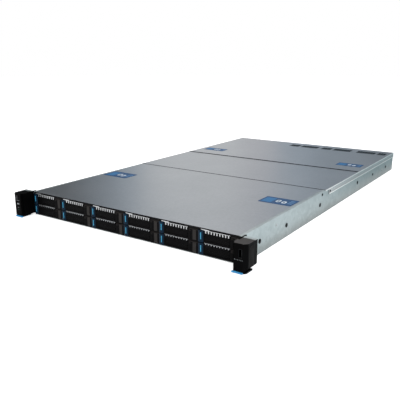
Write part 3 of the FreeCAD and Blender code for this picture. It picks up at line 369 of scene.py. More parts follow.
# blacks, from the dull ears to the charcoal carriers, so that neighbours part from each other
black_abs = moulded("black_abs_moulded", "#040405", "#0a0a0b", 0.5, shine=0.06)
ear_abs = moulded("black_abs_moulded_matt", "#020202", "#050506", 0.55, shine=0.03)
dark_abs = moulded("charcoal_abs_moulded", "#151312", "#221e1d", 0.5, shine=0.13)
# grey: the carriers' end pads, and painted light on the right ear's upward faces
grey_abs_and_top_light = moulded("abs_moulded_grey_and_painted_top_light", "#2b2928", "#363332", 0.5, shine=0.13)
grille_abs = moulded("black_abs_satin_grille", "#060607", "#0e0e10", 0.42, shine=0.1)
# painted shade: near black for the bottom of a recess, screw slots and holes, where almost nothing comes
# back
painted_shade_black = moulded("black_painted_recess_shade", "#020202", "#040404", 0.8, shine=0.04)
# polished tool: one clear highlight on the power button
button_abs = moulded("smoke_abs_polished", "#0c0d0f", "#16181b", 0.22, strength=0.05, shine=0.3)
# touch points: deep blue latches with a pale blue rib that is their painted highlight, and lighter blue
# release tabs
latch_blue = moulded("blue_pc_abs_moulded", "#011726", "#03273f", 0.34, strength=0.15, shine=0.14)
latch_highlight_blue = moulded("latch_painted_highlight_blue", "#2f94bf", "#55b4da", 0.3, strength=0.1, shine=0.3)
tab_blue = moulded("sky_blue_pc_abs_moulded", "#2a86c4", "#4aa6dc", 0.34, strength=0.15, shine=0.3)
# powder coat: a dry black with a slight orange peel; on the vent slots' walls it is painted shade
black_coat_and_shade = moulded("black_powder_coat_and_painted_shade", "#08080a", "#111113", 0.6, shine=0.1)
# slate grey: painted shade on the webs round and between the vent slots, still readable against the slots
vent_shade_grey = moulded("slate_grey_vent_shade", "#2c343a", "#384147", 0.55, shine=0.15)
# seam shadows: a soft grey-black that mirrors nothing, painted on strips at the cover joints
seam_shadow_rubber = moulded("grey_black_seam_shadow", "#1b1e21", "#26292d", 0.9, strength=0.4, shine=0.05)
# glass filling shows as a coarser, paler grain on the fans
fan_pbt = moulded("grey_glass_filled_pbt", "#1b1c1d", "#2b2c2e", 0.6, grain_mm=0.9, strength=0.35)
# connectors and chips: smooth, with a faint even sheen
socket_lcp = moulded("black_lcp_connector", "#0c0c0d", "#191a1b", 0.5)
slot_lcp = moulded("blue_lcp_memory_slot", "#0b2f5a", "#13447c", 0.45)
epoxy = moulded("black_epoxy_chip", "#141516", "#202123", 0.55, strength=0.1)
print("made", len(bpy.data.materials), "materials so far")

# %% [markdown]
# Circuit boards are glass-fibre laminate under a green solder mask. Copper tracks show through
# the mask as paler lines, and small bare pads are plated. A brick pattern broken up by square
# cells draws the tracks, because real ones also run in bundles with gaps between them.


# %% Boards
def printed_board(name, mask, track, gold=False):
    """Solder mask over tracks: a grid of fine lines broken up by noise, with plated pads."""
    material, tree, shader, place = start(name, IOR=1.5, Roughness=0.32, Coat_Weight=0.25)
    lines = add(tree, "ShaderNodeTexBrick", {"Vector": place, "Scale": per_metre(9), "Mortar Size": 0.035,
                                             "Brick Width": 1.3, "Row Height": 0.34})
    fields = add(tree, "ShaderNodeTexVoronoi", {"Vector": place, "Scale": per_metre(14)},
                 distance="CHEBYCHEV")
    share = add(tree, "ShaderNodeMath", {0: lines.outputs["Fac"], 1: fields.outputs["Distance"]},
                operation="MULTIPLY")
    mix = add(tree, "ShaderNodeMix", {"Factor": share.outputs[0], 6: linear(mask), 7: linear(track)},
              data_type="RGBA")
    pads = add(tree, "ShaderNodeTexVoronoi", {"Vector": place, "Scale": per_metre(5)})
    spot = add(tree, "ShaderNodeMath", {0: pads.outputs["Distance"], 1: 0.13}, operation="LESS_THAN")
    pad = linear("#c8b27a" if gold else "#b9bdb8")
    plated = add(tree, "ShaderNodeMix", {"Factor": spot.outputs[0], 6: mix.outputs[2], 7: pad},
                 data_type="RGBA")
    metal = add(tree, "ShaderNodeMath", {0: spot.outputs[0], 1: 0.9}, operation="MULTIPLY")
    bump = add(tree, "ShaderNodeBump", {"Height": share.outputs[0], "Strength": 0.2, "Distance": 0.05 * MM})
    feed(shader, {"Base Color": plated.outputs[2], "Metallic": metal.outputs[0],
                  "Normal": bump.outputs[0]})
    return material


main_board = printed_board("green_fr4_solder_mask", "#0f4a2c", "#2f7a4c")
module_board = printed_board("green_fr4_memory_module", "#11512f", "#2b7548", gold=True)
print("made", main_board.name, "and", module_board.name)

# %% [markdown]
# Heatsinks are extruded aluminium, socket shells are tin-plated, contacts are gold-plated, and
# spacers are brass. A noise that is stretched along the way a part was drawn, turned or milled
# gives each metal its streaks, in the tone and in the gloss.


# %% Bright metals
def bright_metal(name, dark, light, rough, streak):
    """A bare or plated metal; streak stretches its grain along the way it was drawn or milled."""
    material, tree, shader, place = start(name, Metallic=1.0)
    spread = add(tree, "ShaderNodeMapping", {"Vector": place, "Scale": streak})
    grain = add(tree, "ShaderNodeTexNoise",
                {"Vector": spread.outputs[0], "Scale": per_metre(1.2), "Detail": 4.0})
    mix = add(tree, "ShaderNodeMix", {"Factor": grain.outputs["Fac"], 6: linear(dark), 7: linear(light)},
              data_type="RGBA")
    gloss = add(tree, "ShaderNodeMath", {0: grain.outputs["Fac"], 1: 0.18, 2: rough - 0.09},
                operation="MULTIPLY_ADD")
    feed(shader, {"Base Color": mix.outputs[2], "Roughness": gloss.outputs[0]})
    return material


# aluminium: pale and cool, streaked along the fins, or dull and even where it is cast
fin_aluminium = bright_metal("aluminium_extruded", "#b9bdc1", "#dde0e2", 0.38, (1, 0.06, 1))
drive_aluminium = bright_metal("aluminium_die_cast", "#9da1a5", "#b9bcc0", 0.5, (0.7, 0.7, 0.7))
# platings: tin is soft and warm, gold and brass are yellow, nickel is bright and neutral
tin_shell = bright_metal("tin_plated_steel_shell", "#b3b3ae", "#d5d5d0", 0.3, (1, 0.3, 1))
gold_contact = bright_metal("gold_plated_contact", "#c99a3c", "#e9c46e", 0.25, (1, 1, 0.2))
brass_spacer = bright_metal("brass_turned", "#a9843f", "#c9a55c", 0.34, (1, 1, 0.1))
screw_steel = bright_metal("nickel_plated_screw", "#9b9fa1", "#c9cbcb", 0.32, (1, 1, 1))
black_nickel = bright_metal("black_nickel_plated_shell", "#26282a", "#3a3d40", 0.3, (1, 1, 1))
nickel_lid = bright_metal("nickel_plated_copper_lid", "#a8a8a2", "#c6c6c0", 0.3, (0.3, 0.3, 1))
print("made", len(bpy.data.materials), "materials")

# %% [markdown]
# A CAD node can carry several materials, because its object has slots and each face says which
# slot it uses. The function below gives a node its main finish, then hands over the faces
# that a rule picks out. A rule gets a face's middle, in millimetres, and its direction.


# %% Dress a CAD node
def dress(name, main, *others):
    """Give a CAD node its main finish, and the others to the faces that their rules pick out."""
    mesh = nodes[name].data
    mesh.materials.clear()
    for material in (main,) + tuple(o[0] for o in others):
        mesh.materials.append(material)
    for face in mesh.polygons:
        face.material_index = 0
        for number, (material, rule) in enumerate(others, start=1):
            if rule(face.center / MM, face.normal):
                face.material_index = number
    mesh.update()


dress("chassis_tray", galvanised_steel)
dress("drive_cage", galvanised_steel, (black_coat_and_shade, lambda c, n: c.y < 0.01))
dress("front_cover", cover_steel, (black_coat_and_shade, lambda c, n: c.y < -1.9 and c.z < 42.9))
# the flanges' sideways faces take the paler steel as painted sheen
dress("middle_cover", cover_steel, (flange_sheen_steel, lambda c, n: abs(n.x) > 0.9 and c.y > 321))
# the vent slots' walls take the black as painted shade inside the slots
dress("rear_cover", cover_steel, (flange_sheen_steel, lambda c, n: abs(n.x) > 0.9 and abs(c.x) > 216),
      (black_coat_and_shade, lambda c, n: 717.9 < c.y < 735.1 and abs(n.z) < 0.1 and abs(c.x) < 214))
print("chassis and covers dressed")

# %% [markdown]
# A drive carrier is charcoal plastic with a black-coated punched strip along its top edge, and
# the drive sits in it as a grey cast case. The carrier's end face at the right is a deeper
# black. The latch at its left is blue. The floor of the lever's recess is painted near black, as
# the shade behind its mesh, which is open to the air.

# %% Carriers, levers and latches
CARRIERS = ["%02d" % number for number in range(1, 13)]
for tag in CARRIERS:
    low = corners("drive_carrier_" + tag)[0]
    left, floor_z = low.x - 0.2, low.z

    def on_band(c, n, left=left, floor_z=floor_z):
        return c.y < 2.61 and 9.5 < c.x - left < 56.6 and c.z - floor_z > 13.7

    def on_drive(c, n, left=left):
        return 5.9 < c.y < 106.3 and 1.32 < c.x - left < 71.2

    dress("drive_carrier_" + tag, dark_abs, (black_coat_and_shade, on_band), (drive_aluminium, on_drive),
          (black_abs, lambda c, n, left=left: c.y < -2.9 and c.x - left > 60))
    # the recess floor's front faces are painted shade
    dress("carrier_lever_" + tag, black_abs, (painted_shade_black, lambda c, n: -2.5 < c.y < -2.1 and n.y < -0.9))
    dress("carrier_latch_" + tag, latch_blue)
print(len(CARRIERS), "carriers dressed")

# %% [markdown]
# The parts inside the case are dressed in the same way, with a rule for each kind of face:
# sheet blanks among the fans, and slots and sockets on the board, which stand above its face.

# %% Inside the case
BOARD_LOW, BOARD_TOP = 4.2, 5.8
FAN_PITCH, FAN_HALF = 71.5, 20.01
CPU_X, CPU_Y = 106, 330
FAN_MIDDLES = [FAN_PITCH * (i - 2.5) for i in range(6)]


def is_blank(c, n):
    """The sheet blanks lie outside every fan's square frame."""
    return min(abs(c.x - middle) for middle in FAN_MIDDLES) > FAN_HALF


def is_memory_slot(c, n):
    """Slots lie to the left and right of each processor."""
    return c.z > BOARD_TOP + 0.01 and 255 < c.y < 405 and abs(abs(c.x) - CPU_X) > 30


def is_cpu_socket(c, n):
    """A socket stands in the middle of each group of slots."""
    return c.z > BOARD_TOP + 0.01 and abs(abs(c.x) - CPU_X) < 30 and abs(c.y - CPU_Y) < 40


dress("drive_backplane", main_board, (socket_lcp, lambda c, n: c.y < 112.99))
dress("fan_frames", fan_pbt, (galvanised_steel, is_blank))
for i in range(1, 7):
    dress("fan_rotor_%d" % i, fan_pbt, (screw_steel, lambda c, n: c.y > 151.6))
dress("system_board", main_board, (brass_spacer, lambda c, n: c.z < BOARD_LOW - 0.01),
      (slot_lcp, is_memory_slot), (nickel_lid, is_cpu_socket),
      (socket_lcp, lambda c, n: c.z > BOARD_TOP + 0.01))
dress("heatsinks", fin_aluminium)
dress("memory_modules", module_board)
print("boards, fans and heatsinks dressed")

# %% [markdown]
# On the rear the sockets are tin-plated, and the power supplies are galvanised boxes with a
# few other faces: the mains inlet and its pins, the blue latch and the black handle. At the
# front the rack ears are black, with the right ear's upward faces painted grey as the light on
# its top, and their release tabs are blue apart from the top and sides.

# %% Rear and ears
dress("rear_ports", tin_shell)
CASE_REAR = 765
for i in (1, 2):
    x0 = corners("power_supply_%d" % i)[0].x
    dress("power_supply_%d" % i, galvanised_steel,
          (tin_shell, lambda c, n, x0=x0: 751.05 < c.y < 761.5 and 48 < c.x - x0 < 66 and 6 < c.z < 21),
          (socket_lcp, lambda c, n, x0=x0: 750 < c.y < CASE_REAR and 45 < c.x - x0 < 69 and 5 < c.z < 23),
          (latch_blue, lambda c, n, x0=x0: c.y > CASE_REAR + 0.01 and c.x - x0 > 70.2),
          (black_abs, lambda c, n: c.y > CASE_REAR + 0.01))
for side in ("left", "right"):
    # the right ear's upward faces are painted grey as the light on its top
    dress(side + "_rack_handle", ear_abs, (grey_abs_and_top_light, lambda c, n: c.x > 0 and n.z > 0.9))
    dress(side + "_handle_latch", tab_blue,
          (ear_abs, lambda c, n: n.z > 0.9 or abs(n.x) > 0.7 or abs(c.x) > 236))
dress("power_button", button_abs)
print("nodes still bare:", [name for name, item in nodes.items() if not any(item.data.materials)])

# %% [markdown]
# Now come the fine pieces. Each is modelled with bmesh operators around its own middle, then
# moved to where the CAD says, so its object can stay at the origin. A piece rides on a body by
# name: it hangs from an empty of that name, such as the one for the cover that a label sits on.


# %% Pieces and blocks
def finish_piece(name, bm, materials, body):
    """Turn a bmesh into an object that rides on a CAD body."""
    bmesh.ops.recalc_face_normals(bm, faces=bm.faces)
    mesh = bpy.data.meshes.new(name)
    bm.to_mesh(mesh)
    bm.free()
    item = bpy.data.objects.new(name, mesh)
    scene.collection.objects.link(item)
    for material in materials:
        mesh.materials.append(material)
    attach(item, body)


def faces_of(verts):
    """Every face at these vertices, once each."""
    return list({face for vert in verts for face in vert.link_faces})


def edges_of(verts):
    """Every edge at these vertices, once each."""
    return list({edge for vert in verts for edge in vert.link_edges})


def block(bm, low, high, material=0, bevel=0.0, segments=1):
    """A block between two corners, in millimetres, with its edges bevelled."""
    low, high = Vector(low) * MM, Vector(high) * MM
    verts = bmesh.ops.create_cube(bm, size=1)["verts"]
    bmesh.ops.scale(bm, vec=high - low, verts=verts)
    bmesh.ops.translate(bm, vec=(low + high) / 2, verts=verts)
    faces = faces_of(verts)
    for face in faces:
        face.material_index = material
    if bevel:
        bmesh.ops.bevel(bm, geom=edges_of(verts), offset=bevel * MM, offset_type="OFFSET", affect="EDGES",
                        segments=segments, profile=0.5, material=-1)
    return faces


print("blocks and pieces ready")

# %% [markdown]
# Round parts are made standing on the origin, along Z, and are then turned to their axis and
# moved. A disc is a closed cone with two equal radii, and its far rim can be bevelled. A
# screw's cap is inset twice, the second time pushed in, for the recess. A washer is two
# circles, bridged and given their thickness.

# %% Discs, screws and washers
TURNS = {"x": Matrix.Rotation(math.radians(90), 3, "Y"), "-x": Matrix.Rotation(math.radians(-90), 3, "Y"),
         "y": Matrix.Rotation(math.radians(-90), 3, "X"), "-y": Matrix.Rotation(math.radians(90), 3, "X"),
         "z": Matrix.Identity(3), "-z": Matrix.Rotation(math.radians(180), 3, "X")}


def disc(bm, at, axis, radius, height, material=0, segments=20, bevel=0.0):
    """A round piece that stands on a point and rises along an axis; its far rim can be bevelled."""
    verts = bmesh.ops.create_cone(bm, cap_ends=True, segments=segments, radius1=radius * MM,
                                  radius2=radius * MM, depth=height * MM)["verts"]
    bmesh.ops.translate(bm, vec=(0, 0, height / 2 * MM), verts=verts)
    faces = faces_of(verts)
    for face in faces:
        face.material_index = material
    if bevel:
        rim = [edge for edge in edges_of(verts)
               if all(vert.co.z > height * 0.99 * MM for vert in edge.verts)]
        made = bmesh.ops.bevel(bm, geom=rim, offset=bevel * MM, offset_type="OFFSET", affect="EDGES",
                               segments=2, profile=0.5, material=-1)
        faces = faces_of([vert for vert in verts if vert.is_valid] + made["verts"])
    verts = list({vert for face in faces for vert in face.verts})
    bmesh.ops.rotate(bm, verts=verts, matrix=TURNS[axis])
    bmesh.ops.translate(bm, vec=Vector(at) * MM, verts=verts)
    return faces


def screw(bm, at, axis, radius, height=0.7):
    """A flat screw head with a recess: its cap is inset, then pushed in and given material 1."""
    faces = disc(bm, at, axis, radius, height, segments=18, bevel=min(0.25, height / 2))
    way = TURNS[axis] @ Vector((0, 0, 1))
    cap = max(faces, key=lambda face: face.calc_center_median().dot(way) + face.calc_area())
    bmesh.ops.inset_individual(bm, faces=[cap], thickness=radius * 0.5 * MM, depth=0)
    bmesh.ops.inset_individual(bm, faces=[cap], thickness=0.01 * MM, depth=-height * 0.6 * MM)
    # material 1 paints the shade in the recess
    cap.material_index = 1


def washer(bm, at, axis, outer, inner, thick):
    """A flat ring that stands on a point; it is made by itself, then joined to the piece."""
    ring = bmesh.new()
    rims = []
    for radius in (outer, inner):
        made = bmesh.ops.create_circle(ring, segments=32, radius=radius * MM)
        rims += edges_of(made["verts"])
    bmesh.ops.bridge_loops(ring, edges=rims)
    bmesh.ops.solidify(ring, geom=ring.faces, thickness=thick * MM)
    lowest = min(vert.co.z for vert in ring.verts)
    bmesh.ops.translate(ring, verts=ring.verts, vec=(0, 0, -lowest))
    bmesh.ops.rotate(ring, verts=ring.verts, matrix=TURNS[axis])
    bmesh.ops.translate(ring, verts=ring.verts, vec=Vector(at) * MM)
    mesh = bpy.data.meshes.new("ring")
    ring.to_mesh(mesh)
    ring.free()
    bm.from_mesh(mesh)
    bpy.data.meshes.remove(mesh)


print("round parts can stand along", ", ".join(TURNS))

# %% [markdown]
# Many pieces come as a left and a right copy, so one helper orders two X values on either side.
# A CAD node can hold several solids, such as all the memory modules. Another helper walks along
# the edges from each vertex, which finds the solids one by one, and measures them.


# %% Sides and solids
def span(side, near, far):
    """Two X values on one side of the middle, -1 for left and 1 for right, the lower one first."""
    return sorted((side * near, side * far))


def solids(name):
    """The boxes, in millimetres, of the separate solids in a CAD node."""
    bm = bmesh.new()
    bm.from_mesh(nodes[name].data)
    bmesh.ops.remove_doubles(bm, verts=bm.verts, dist=0.001 * MM)
    seen, boxes = set(), []
    for first in bm.verts:
        if first in seen:
            continue
        group, queue = [], [first]
        seen.add(first)
        while queue:
            vert = queue.pop()
            group.append(vert.co / MM)
            for edge in vert.link_edges:
                other = edge.other_vert(vert)
                if other not in seen:
                    seen.add(other)
                    queue.append(other)
        boxes.append((Vector(map(min, *group)), Vector(map(max, *group))))
    bm.free()
    return boxes


print("the memory node holds", len(solids("memory_modules")), "modules")

# %% [markdown]
# The covers carry four blue service labels of printed polyester film. One function makes the
# ground and its three inks, because ink on film is a smooth colour that hardly varies.


# %% Label materials
def film(name, dark, light, rough):
    """Printed film: a smooth colour with the slight unevenness of ink."""
    material, tree, shader, place = start(name, IOR=1.5, Specular_IOR_Level=0.2)
    dots = add(tree, "ShaderNodeTexNoise", {"Vector": place, "Scale": per_metre(2), "Detail": 3.0})
    mix = add(tree, "ShaderNodeMix", {"Factor": dots.outputs["Fac"], 6: linear(dark), 7: linear(light)},
              data_type="RGBA")
    gloss = add(tree, "ShaderNodeMath", {0: dots.outputs["Fac"], 1: 0.1, 2: rough},
                operation="MULTIPLY_ADD")
    feed(shader, {"Base Color": mix.outputs[2], "Roughness": gloss.outputs[0]})
    return material


# a deep blue ground with three inks: a lighter blue patch, near-white rings and pale bars
label_blue = film("blue_polyester_film", "#103a60", "#194a75", 0.45)
label_sky = film("sky_blue_ink_on_film", "#225d8c", "#336f9e", 0.5)
label_white = film("white_ink_on_film", "#b9c6d2", "#cfd8e0", 0.5)
label_pale = film("pale_blue_ink_on_film", "#4f7ba8", "#6a91b8", 0.5)
print("a blue film and three inks")

# %% [markdown]
# A label is a thin plate with rounded corners. A lighter patch, two rings and three bars stand
# on it in place of a drawing, and say nothing about who made the server. The places are shares
# of the label's width and depth, so one drawing serves all four.


# %% Four cover labels
def plate(bm, low, high, corner, material=0):
    """A thin plate whose four upright edges are rounded."""
    verts = bmesh.ops.create_cube(bm, size=1)["verts"]
    low, high = Vector(low) * MM, Vector(high) * MM
    bmesh.ops.scale(bm, vec=high - low, verts=verts)
    bmesh.ops.translate(bm, vec=(low + high) / 2, verts=verts)
    for face in faces_of(verts):
        face.material_index = material
    upright = [edge for edge in edges_of(verts)
               if abs(edge.verts[0].co.z - edge.verts[1].co.z) > (high.z - low.z) / 2]
    bmesh.ops.bevel(bm, geom=upright, offset=corner * MM, offset_type="OFFSET", affect="EDGES",
                    segments=4, profile=0.5, material=-1)


COVER_TOP = corners("front_cover")[1].z
FILM = 0.12
INK = COVER_TOP + FILM
SIDES = ((-1, "left", "-x"), (1, "right", "x"))


def printed(bm, x, y, across, along, height, corner, ink):
    """A printed field; across and along are its shares of the label's width and depth."""
    width, depth = x[1] - x[0], y[1] - y[0]
    plate(bm, (x[0] + across[0] * width, y[0] + along[0] * depth, INK),
          (x[0] + across[1] * width, y[0] + along[1] * depth, INK + height), corner, ink)


for end, near, far, y in (("front", 150, 211, (169, 208)), ("rear", 150, 207, (538, 568))):
    for side, tag, way in SIDES:
        x = span(side, near, far)
        bm = bmesh.new()
        plate(bm, (x[0], y[0], COVER_TOP), (x[1], y[1], INK), 2.5)
        printed(bm, x, y, (0.06, 0.36), (0.14, 0.84), 0.05, 1, 3)
        for across, along, wide, deep in ((0.5, 0.5, 0.13, 0.4), (0.69, 0.42, 0.13, 0.36)):
            for share, height, ink in ((1, 0.05, 1), (0.42, 0.08, 0)):
                half_w, half_d = share * wide / 2, share * deep / 2
                printed(bm, x, y, (across - half_w, across + half_w), (along - half_d, along + half_d),
                        height, half_d * (y[1] - y[0]) * 0.6, ink)
        for along in (0.3, 0.5, 0.7):
            printed(bm, x, y, (0.81, 0.94), (along, along + 0.08), 0.05, 0.6, 2)
        finish_piece("label_%s_%s" % (end, tag), bm, [label_blue, label_white, label_pale, label_sky],
                     end + "_lid")
print("four labels on the covers")

# %% [markdown]
# Each lever is faced with a fine honeycomb mesh. One cell is a six-sided face that is inset, and
# its middle is deleted. The rings that stay are joined where they touch, and the whole sheet
# is given its thickness at once.


# %% Honeycomb sheet
def honeycomb(bm, left, floor, front, columns, rows, pitch, wire, thick):
    """Rows of six-sided rings in the XZ plane, given their thickness towards +Y."""
    reach = pitch / math.sqrt(3)
    cells = []
    for row in range(rows):
        for column in range(columns):
            made = bmesh.ops.create_circle(bm, cap_ends=True, segments=6, radius=reach * MM)
            x = left + pitch * (column + 0.5 + 0.5 * (row % 2))
            z = floor + reach + row * reach * 1.5
            bmesh.ops.rotate(bm, verts=made["verts"], matrix=TURNS["-y"])
            bmesh.ops.translate(bm, verts=made["verts"], vec=Vector((x, front, z)) * MM)
            cells += [face for face in made["verts"][0].link_faces]
    bmesh.ops.inset_individual(bm, faces=cells, thickness=wire / 2 * MM, use_even_offset=True)
    bmesh.ops.delete(bm, geom=cells, context="FACES")
    bmesh.ops.remove_doubles(bm, verts=bm.verts, dist=0.05 * MM)
    bmesh.ops.recalc_face_normals(bm, faces=bm.faces)
    bmesh.ops.solidify(bm, geom=bm.faces, thickness=thick * MM)


def set_back(bm, back):
    """Move a sheet along Y until its rear face stands at back, in millimetres."""
    highest = max(vert.co.y for vert in bm.verts)
    bmesh.ops.translate(bm, verts=bm.verts, vec=(0, back * MM - highest, 0))


CELL_PITCH, CELL_WIRE, CELL_COLUMNS, CELL_ROWS = 2.15, 0.7, 19, 4
print("honeycomb of", CELL_PITCH, "mm cells and", CELL_WIRE, "mm walls")

# %% [markdown]
# All twelve carriers get the same four pieces: the honeycomb on the lever, a comb of bright
# contact fingers above it, a grey pad on the end block, and a light blue rib on the latch, which
# is the latch's painted highlight. The fingers are longer in the upper row and painted brighter
# there as light from above; in the lower row they are painted darker, as shade under the row above.

# %% Pieces of each carrier
FINGERS, FINGER_STEP, FINGER_TOP = 9, 4.8, 18.1
for tag in CARRIERS:
    low = corners("carrier_lever_" + tag)[0]
    bm = bmesh.new()
    honeycomb(bm, low.x + 2.3, low.z + 2.5, low.y, CELL_COLUMNS, CELL_ROWS, CELL_PITCH, CELL_WIRE, 0.4)
    set_back(bm, low.y + 0.5)
    finish_piece("mesh_" + tag, bm, [grille_abs], "lever_" + tag)
    # upper row: paler steel as painted light; lower row: darker steel as painted shade under the row above
    tall, metal = (4.5, nickel_and_highlight_steel) if int(tag) > 6 else (2.4, lower_finger_shade_steel)
    top = low.z + FINGER_TOP
    bm = bmesh.new()
    for k in range(FINGERS):
        left = low.x + 3 + FINGER_STEP * k
        block(bm, (left, low.y + 0.1, top - tall), (left + 1.9, low.y + 0.7, top), 0, 0.25, 2)
    block(bm, (low.x + 1, low.y + 0.45, top - 0.7), (low.x + 44.6, low.y + 0.75, top), 0, 0.1)
    finish_piece("contact_fingers_" + tag, bm, [metal], "carrier_" + tag)
    low, high = corners("drive_carrier_" + tag)
    bm = bmesh.new()
    block(bm, (low.x + 63, -3.4, low.z + 1), (low.x + 69.2, -2.9, high.z - 1.6), 0, 0.4, 2)
    finish_piece("carrier_post_" + tag, bm, [grey_abs_and_top_light], "carrier_" + tag)
    low, high = corners("carrier_latch_" + tag)
    bm = bmesh.new()
    # the rib's pale blue is the latch's painted highlight
    block(bm, (low.x + 4.4, low.y - 0.4, low.z + 4.5), (low.x + 5.9, low.y + 0.6, high.z - 3), 0, 0.35, 2)
    finish_piece("latch_highlight_rib_" + tag, bm, [latch_highlight_blue], "latch_" + tag)
print(len(CARRIERS), "honeycombs, finger combs, end pads and latch ribs")

# %% [markdown]
# Small flat-head screws hold the covers and the drive cage. They sit in the side walls and at
# the rear of the cover, and their heads stand out by less than a millimetre. Under the floor
# sheet are the flush heads that hold the board's spacers.

# %% Screws
HALF = corners("chassis_tray")[1].x
LID_HALF = corners("rear_cover")[1].x - 0.5
for side, tag, way in SIDES:
    # name, heads as (Y, Z, radius), X of the sheet, height, finish, body and slot
    for name, heads, wall, height, finish, body, slot in (
            ("wall_screws_", ((24, 30, 2.2), (104, 30, 2.2), (671, 14, 4.6)), HALF, 0.7,
             screw_steel, "chassis", "galvanised_steel"),
            ("dark_wall_screws_", ((290.4, 37.4, 2.4), (599, 17.7, 2.8), (702.7, 17.6, 3.2)), HALF, 0.7,
             black_coat_and_shade, "chassis", "black_plastic"),
            ("rear_cover_screws_", ((592, 37.6, 1.9), (698, 37.6, 1.9)), LID_HALF, 0.45,
             screw_steel, "rear_lid", "cover_steel"),
            ("middle_cover_screws_", ((327.4, 37.2, 2.2),), LID_HALF, 0.45,
             black_coat_and_shade, "middle_lid", "cover_steel")):
        bm = bmesh.new()
        for y, z, radius in heads:
            screw(bm, (side * wall, y, z), way, radius, height)
        finish_piece(name + tag, bm, [finish, painted_shade_black], body)

spacers = [face.center / MM for face in nodes["system_board"].data.polygons
           if face.center.z / MM < BOARD_LOW - 0.01 and face.normal.z < -0.9]
bm = bmesh.new()
for spot in spacers:
    disc(bm, (spot.x, spot.y, 0), "-z", 3.4, 0.2, 0, segments=24, bevel=0.08)
    disc(bm, (spot.x, spot.y, -0.2), "-z", 1.3, 0.03, 1, segments=6)
finish_piece("base_screws", bm, [screw_steel, painted_shade_black], "chassis")
print("screws on both sides and", len(spacers), "heads under the floor sheet")

# %% [markdown]
# Each joint between the covers gets a grey-black strip, a painted shadow of the seam, which
# draws a thin dark line. The vent slots stand in four fields; their webs are painted slate grey
# and a dark sheet lies below, both painted shade of the slots. In both long fields a narrow
# bridge of the cover's own sheet closes one slot.

# %% Joints and vents
seam_rear, seam_front = corners("rear_cover")[0].y, corners("middle_cover")[0].y
# each seam's painted shadow strip: where it begins, its depth, height and rounding, and the cover that it
# rides on
for name, seam, deep, tall, bevel, body in (
        ("seam_shadow_rear", seam_rear, 2.6, 0.8, 0.2, "rear_lid"),
        ("seam_shadow_front", seam_front, 1.4, 0.35, 0.1, "middle_lid")):
    bm = bmesh.new()
    block(bm, (-HALF + 0.4, seam, COVER_TOP), (HALF - 0.4, seam + deep, COVER_TOP + tall), 0, bevel)
    finish_piece(name, bm, [seam_shadow_rubber], body)

SLOT, STEP, SLOTS_FRONT, SLOTS_REAR = 3.6, 6.5, 718, 735
RIM, FRAME_TOP = 1.4, COVER_TOP + 0.3
bm = bmesh.new()
# a dark sheet under the slots: painted shade seen through them
block(bm, (-HALF + 6, SLOTS_FRONT - 4, COVER_TOP - 1.6), (HALF - 6, SLOTS_REAR + 4, COVER_TOP - 1.1))
finish_piece("vent_shade_sheet", bm, [painted_shade_black], "rear_lid")
# the webs round and between the slots are painted slate grey as shade of the vent field
frames, bridges = bmesh.new(), bmesh.new()
last_field = LID_HALF - 26.5
# each field: its first slot, how many slots it has, and the one that a bridge closes
for first, count, closed in ((last_field - 235, 12, 4), (last_field - 146, 12, 4),
                             (last_field - 52, 7, None), (last_field, 3, None)):
    runs = [(0, count)] if closed is None else [(0, closed), (closed + 1, count)]
    for begin, end in runs:
        x0, x1 = first + begin * STEP - RIM, first + (end - 1) * STEP + SLOT + RIM
        block(frames, (x0, SLOTS_FRONT - 6.5, COVER_TOP), (x1, SLOTS_FRONT, FRAME_TOP), 0)
        block(frames, (x0, SLOTS_REAR, COVER_TOP), (x1, SLOTS_REAR + 2, FRAME_TOP), 0)
        edges = [x0] + [first + k * STEP + SLOT for k in range(begin, end)]
        for k, left in enumerate(edges):
            right = first + (begin + k) * STEP if k < end - begin else x1
            block(frames, (left, SLOTS_FRONT, COVER_TOP), (right, SLOTS_REAR, FRAME_TOP), 0)
    if closed is not None:
        x0 = first + closed * STEP
        block(bridges, (x0 - 1.2, SLOTS_FRONT - 2, COVER_TOP),
              (x0 + SLOT + 1.2, SLOTS_REAR + 2, COVER_TOP + 0.2), 0)
finish_piece("vent_shade_webs", frames, [vent_shade_grey], "rear_lid")
finish_piece("vent_bridges", bridges, [cover_steel], "rear_lid")
print("joints at", round(seam_front, 1), "and", round(seam_rear, 1), "mm")

# %% [markdown]
# Sheet metal is rolled back on itself where hands reach its edge. Such hems run along the
# covers' upper edges and along the foot of their flanges, painted near white as the highlight
# of a rolled edge. Each hole for the slide rail has a black ring round it and a dark disc inside,
# painted shade for the hole. A small bright spring over each column of bays earths the front.

# %% Hems, rail holes and springs
FLANGE_START = 322
for name, body in (("middle_cover", "middle_lid"), ("rear_cover", "rear_lid")):
    low, high = corners(name)
    flange_from = FLANGE_START if name == "middle_cover" else low.y
    bm = bmesh.new()
    for side in (-1, 1):
        x = span(side, LID_HALF - 0.9, LID_HALF + 0.35)
        # the hems' near white is the painted highlight of the rolled edge
        block(bm, (x[0], low.y, COVER_TOP - 1.7), (x[1], high.y, COVER_TOP + 0.12), 0, 0.3, 2)
        x = span(side, LID_HALF + 0.1, LID_HALF + 0.8)
        block(bm, (x[0], flange_from, low.z - 0.15), (x[1], high.y, low.z + 1.9), 0, 0.3, 2)
    finish_piece(name + "_hems", bm, [hem_highlight_steel], body)

RAIL_HOLES, RAIL_HOLE_Z, RAIL_HOLE_RADIUS = (50, 141, 282, 491), 20, 2.6
for side, tag, way in SIDES:
    bm = bmesh.new()
    for y in RAIL_HOLES:
        washer(bm, (side * HALF, y, RAIL_HOLE_Z), way, RAIL_HOLE_RADIUS + 1.1, RAIL_HOLE_RADIUS, 0.5)
        # the dark disc inside the hole is painted shade
        disc(bm, (side * (HALF - 0.75), y, RAIL_HOLE_Z), way, RAIL_HOLE_RADIUS, 0.1, 1, segments=24)
    finish_piece("rail_nuts_" + tag, bm, [black_coat_and_shade, painted_shade_black], "chassis")

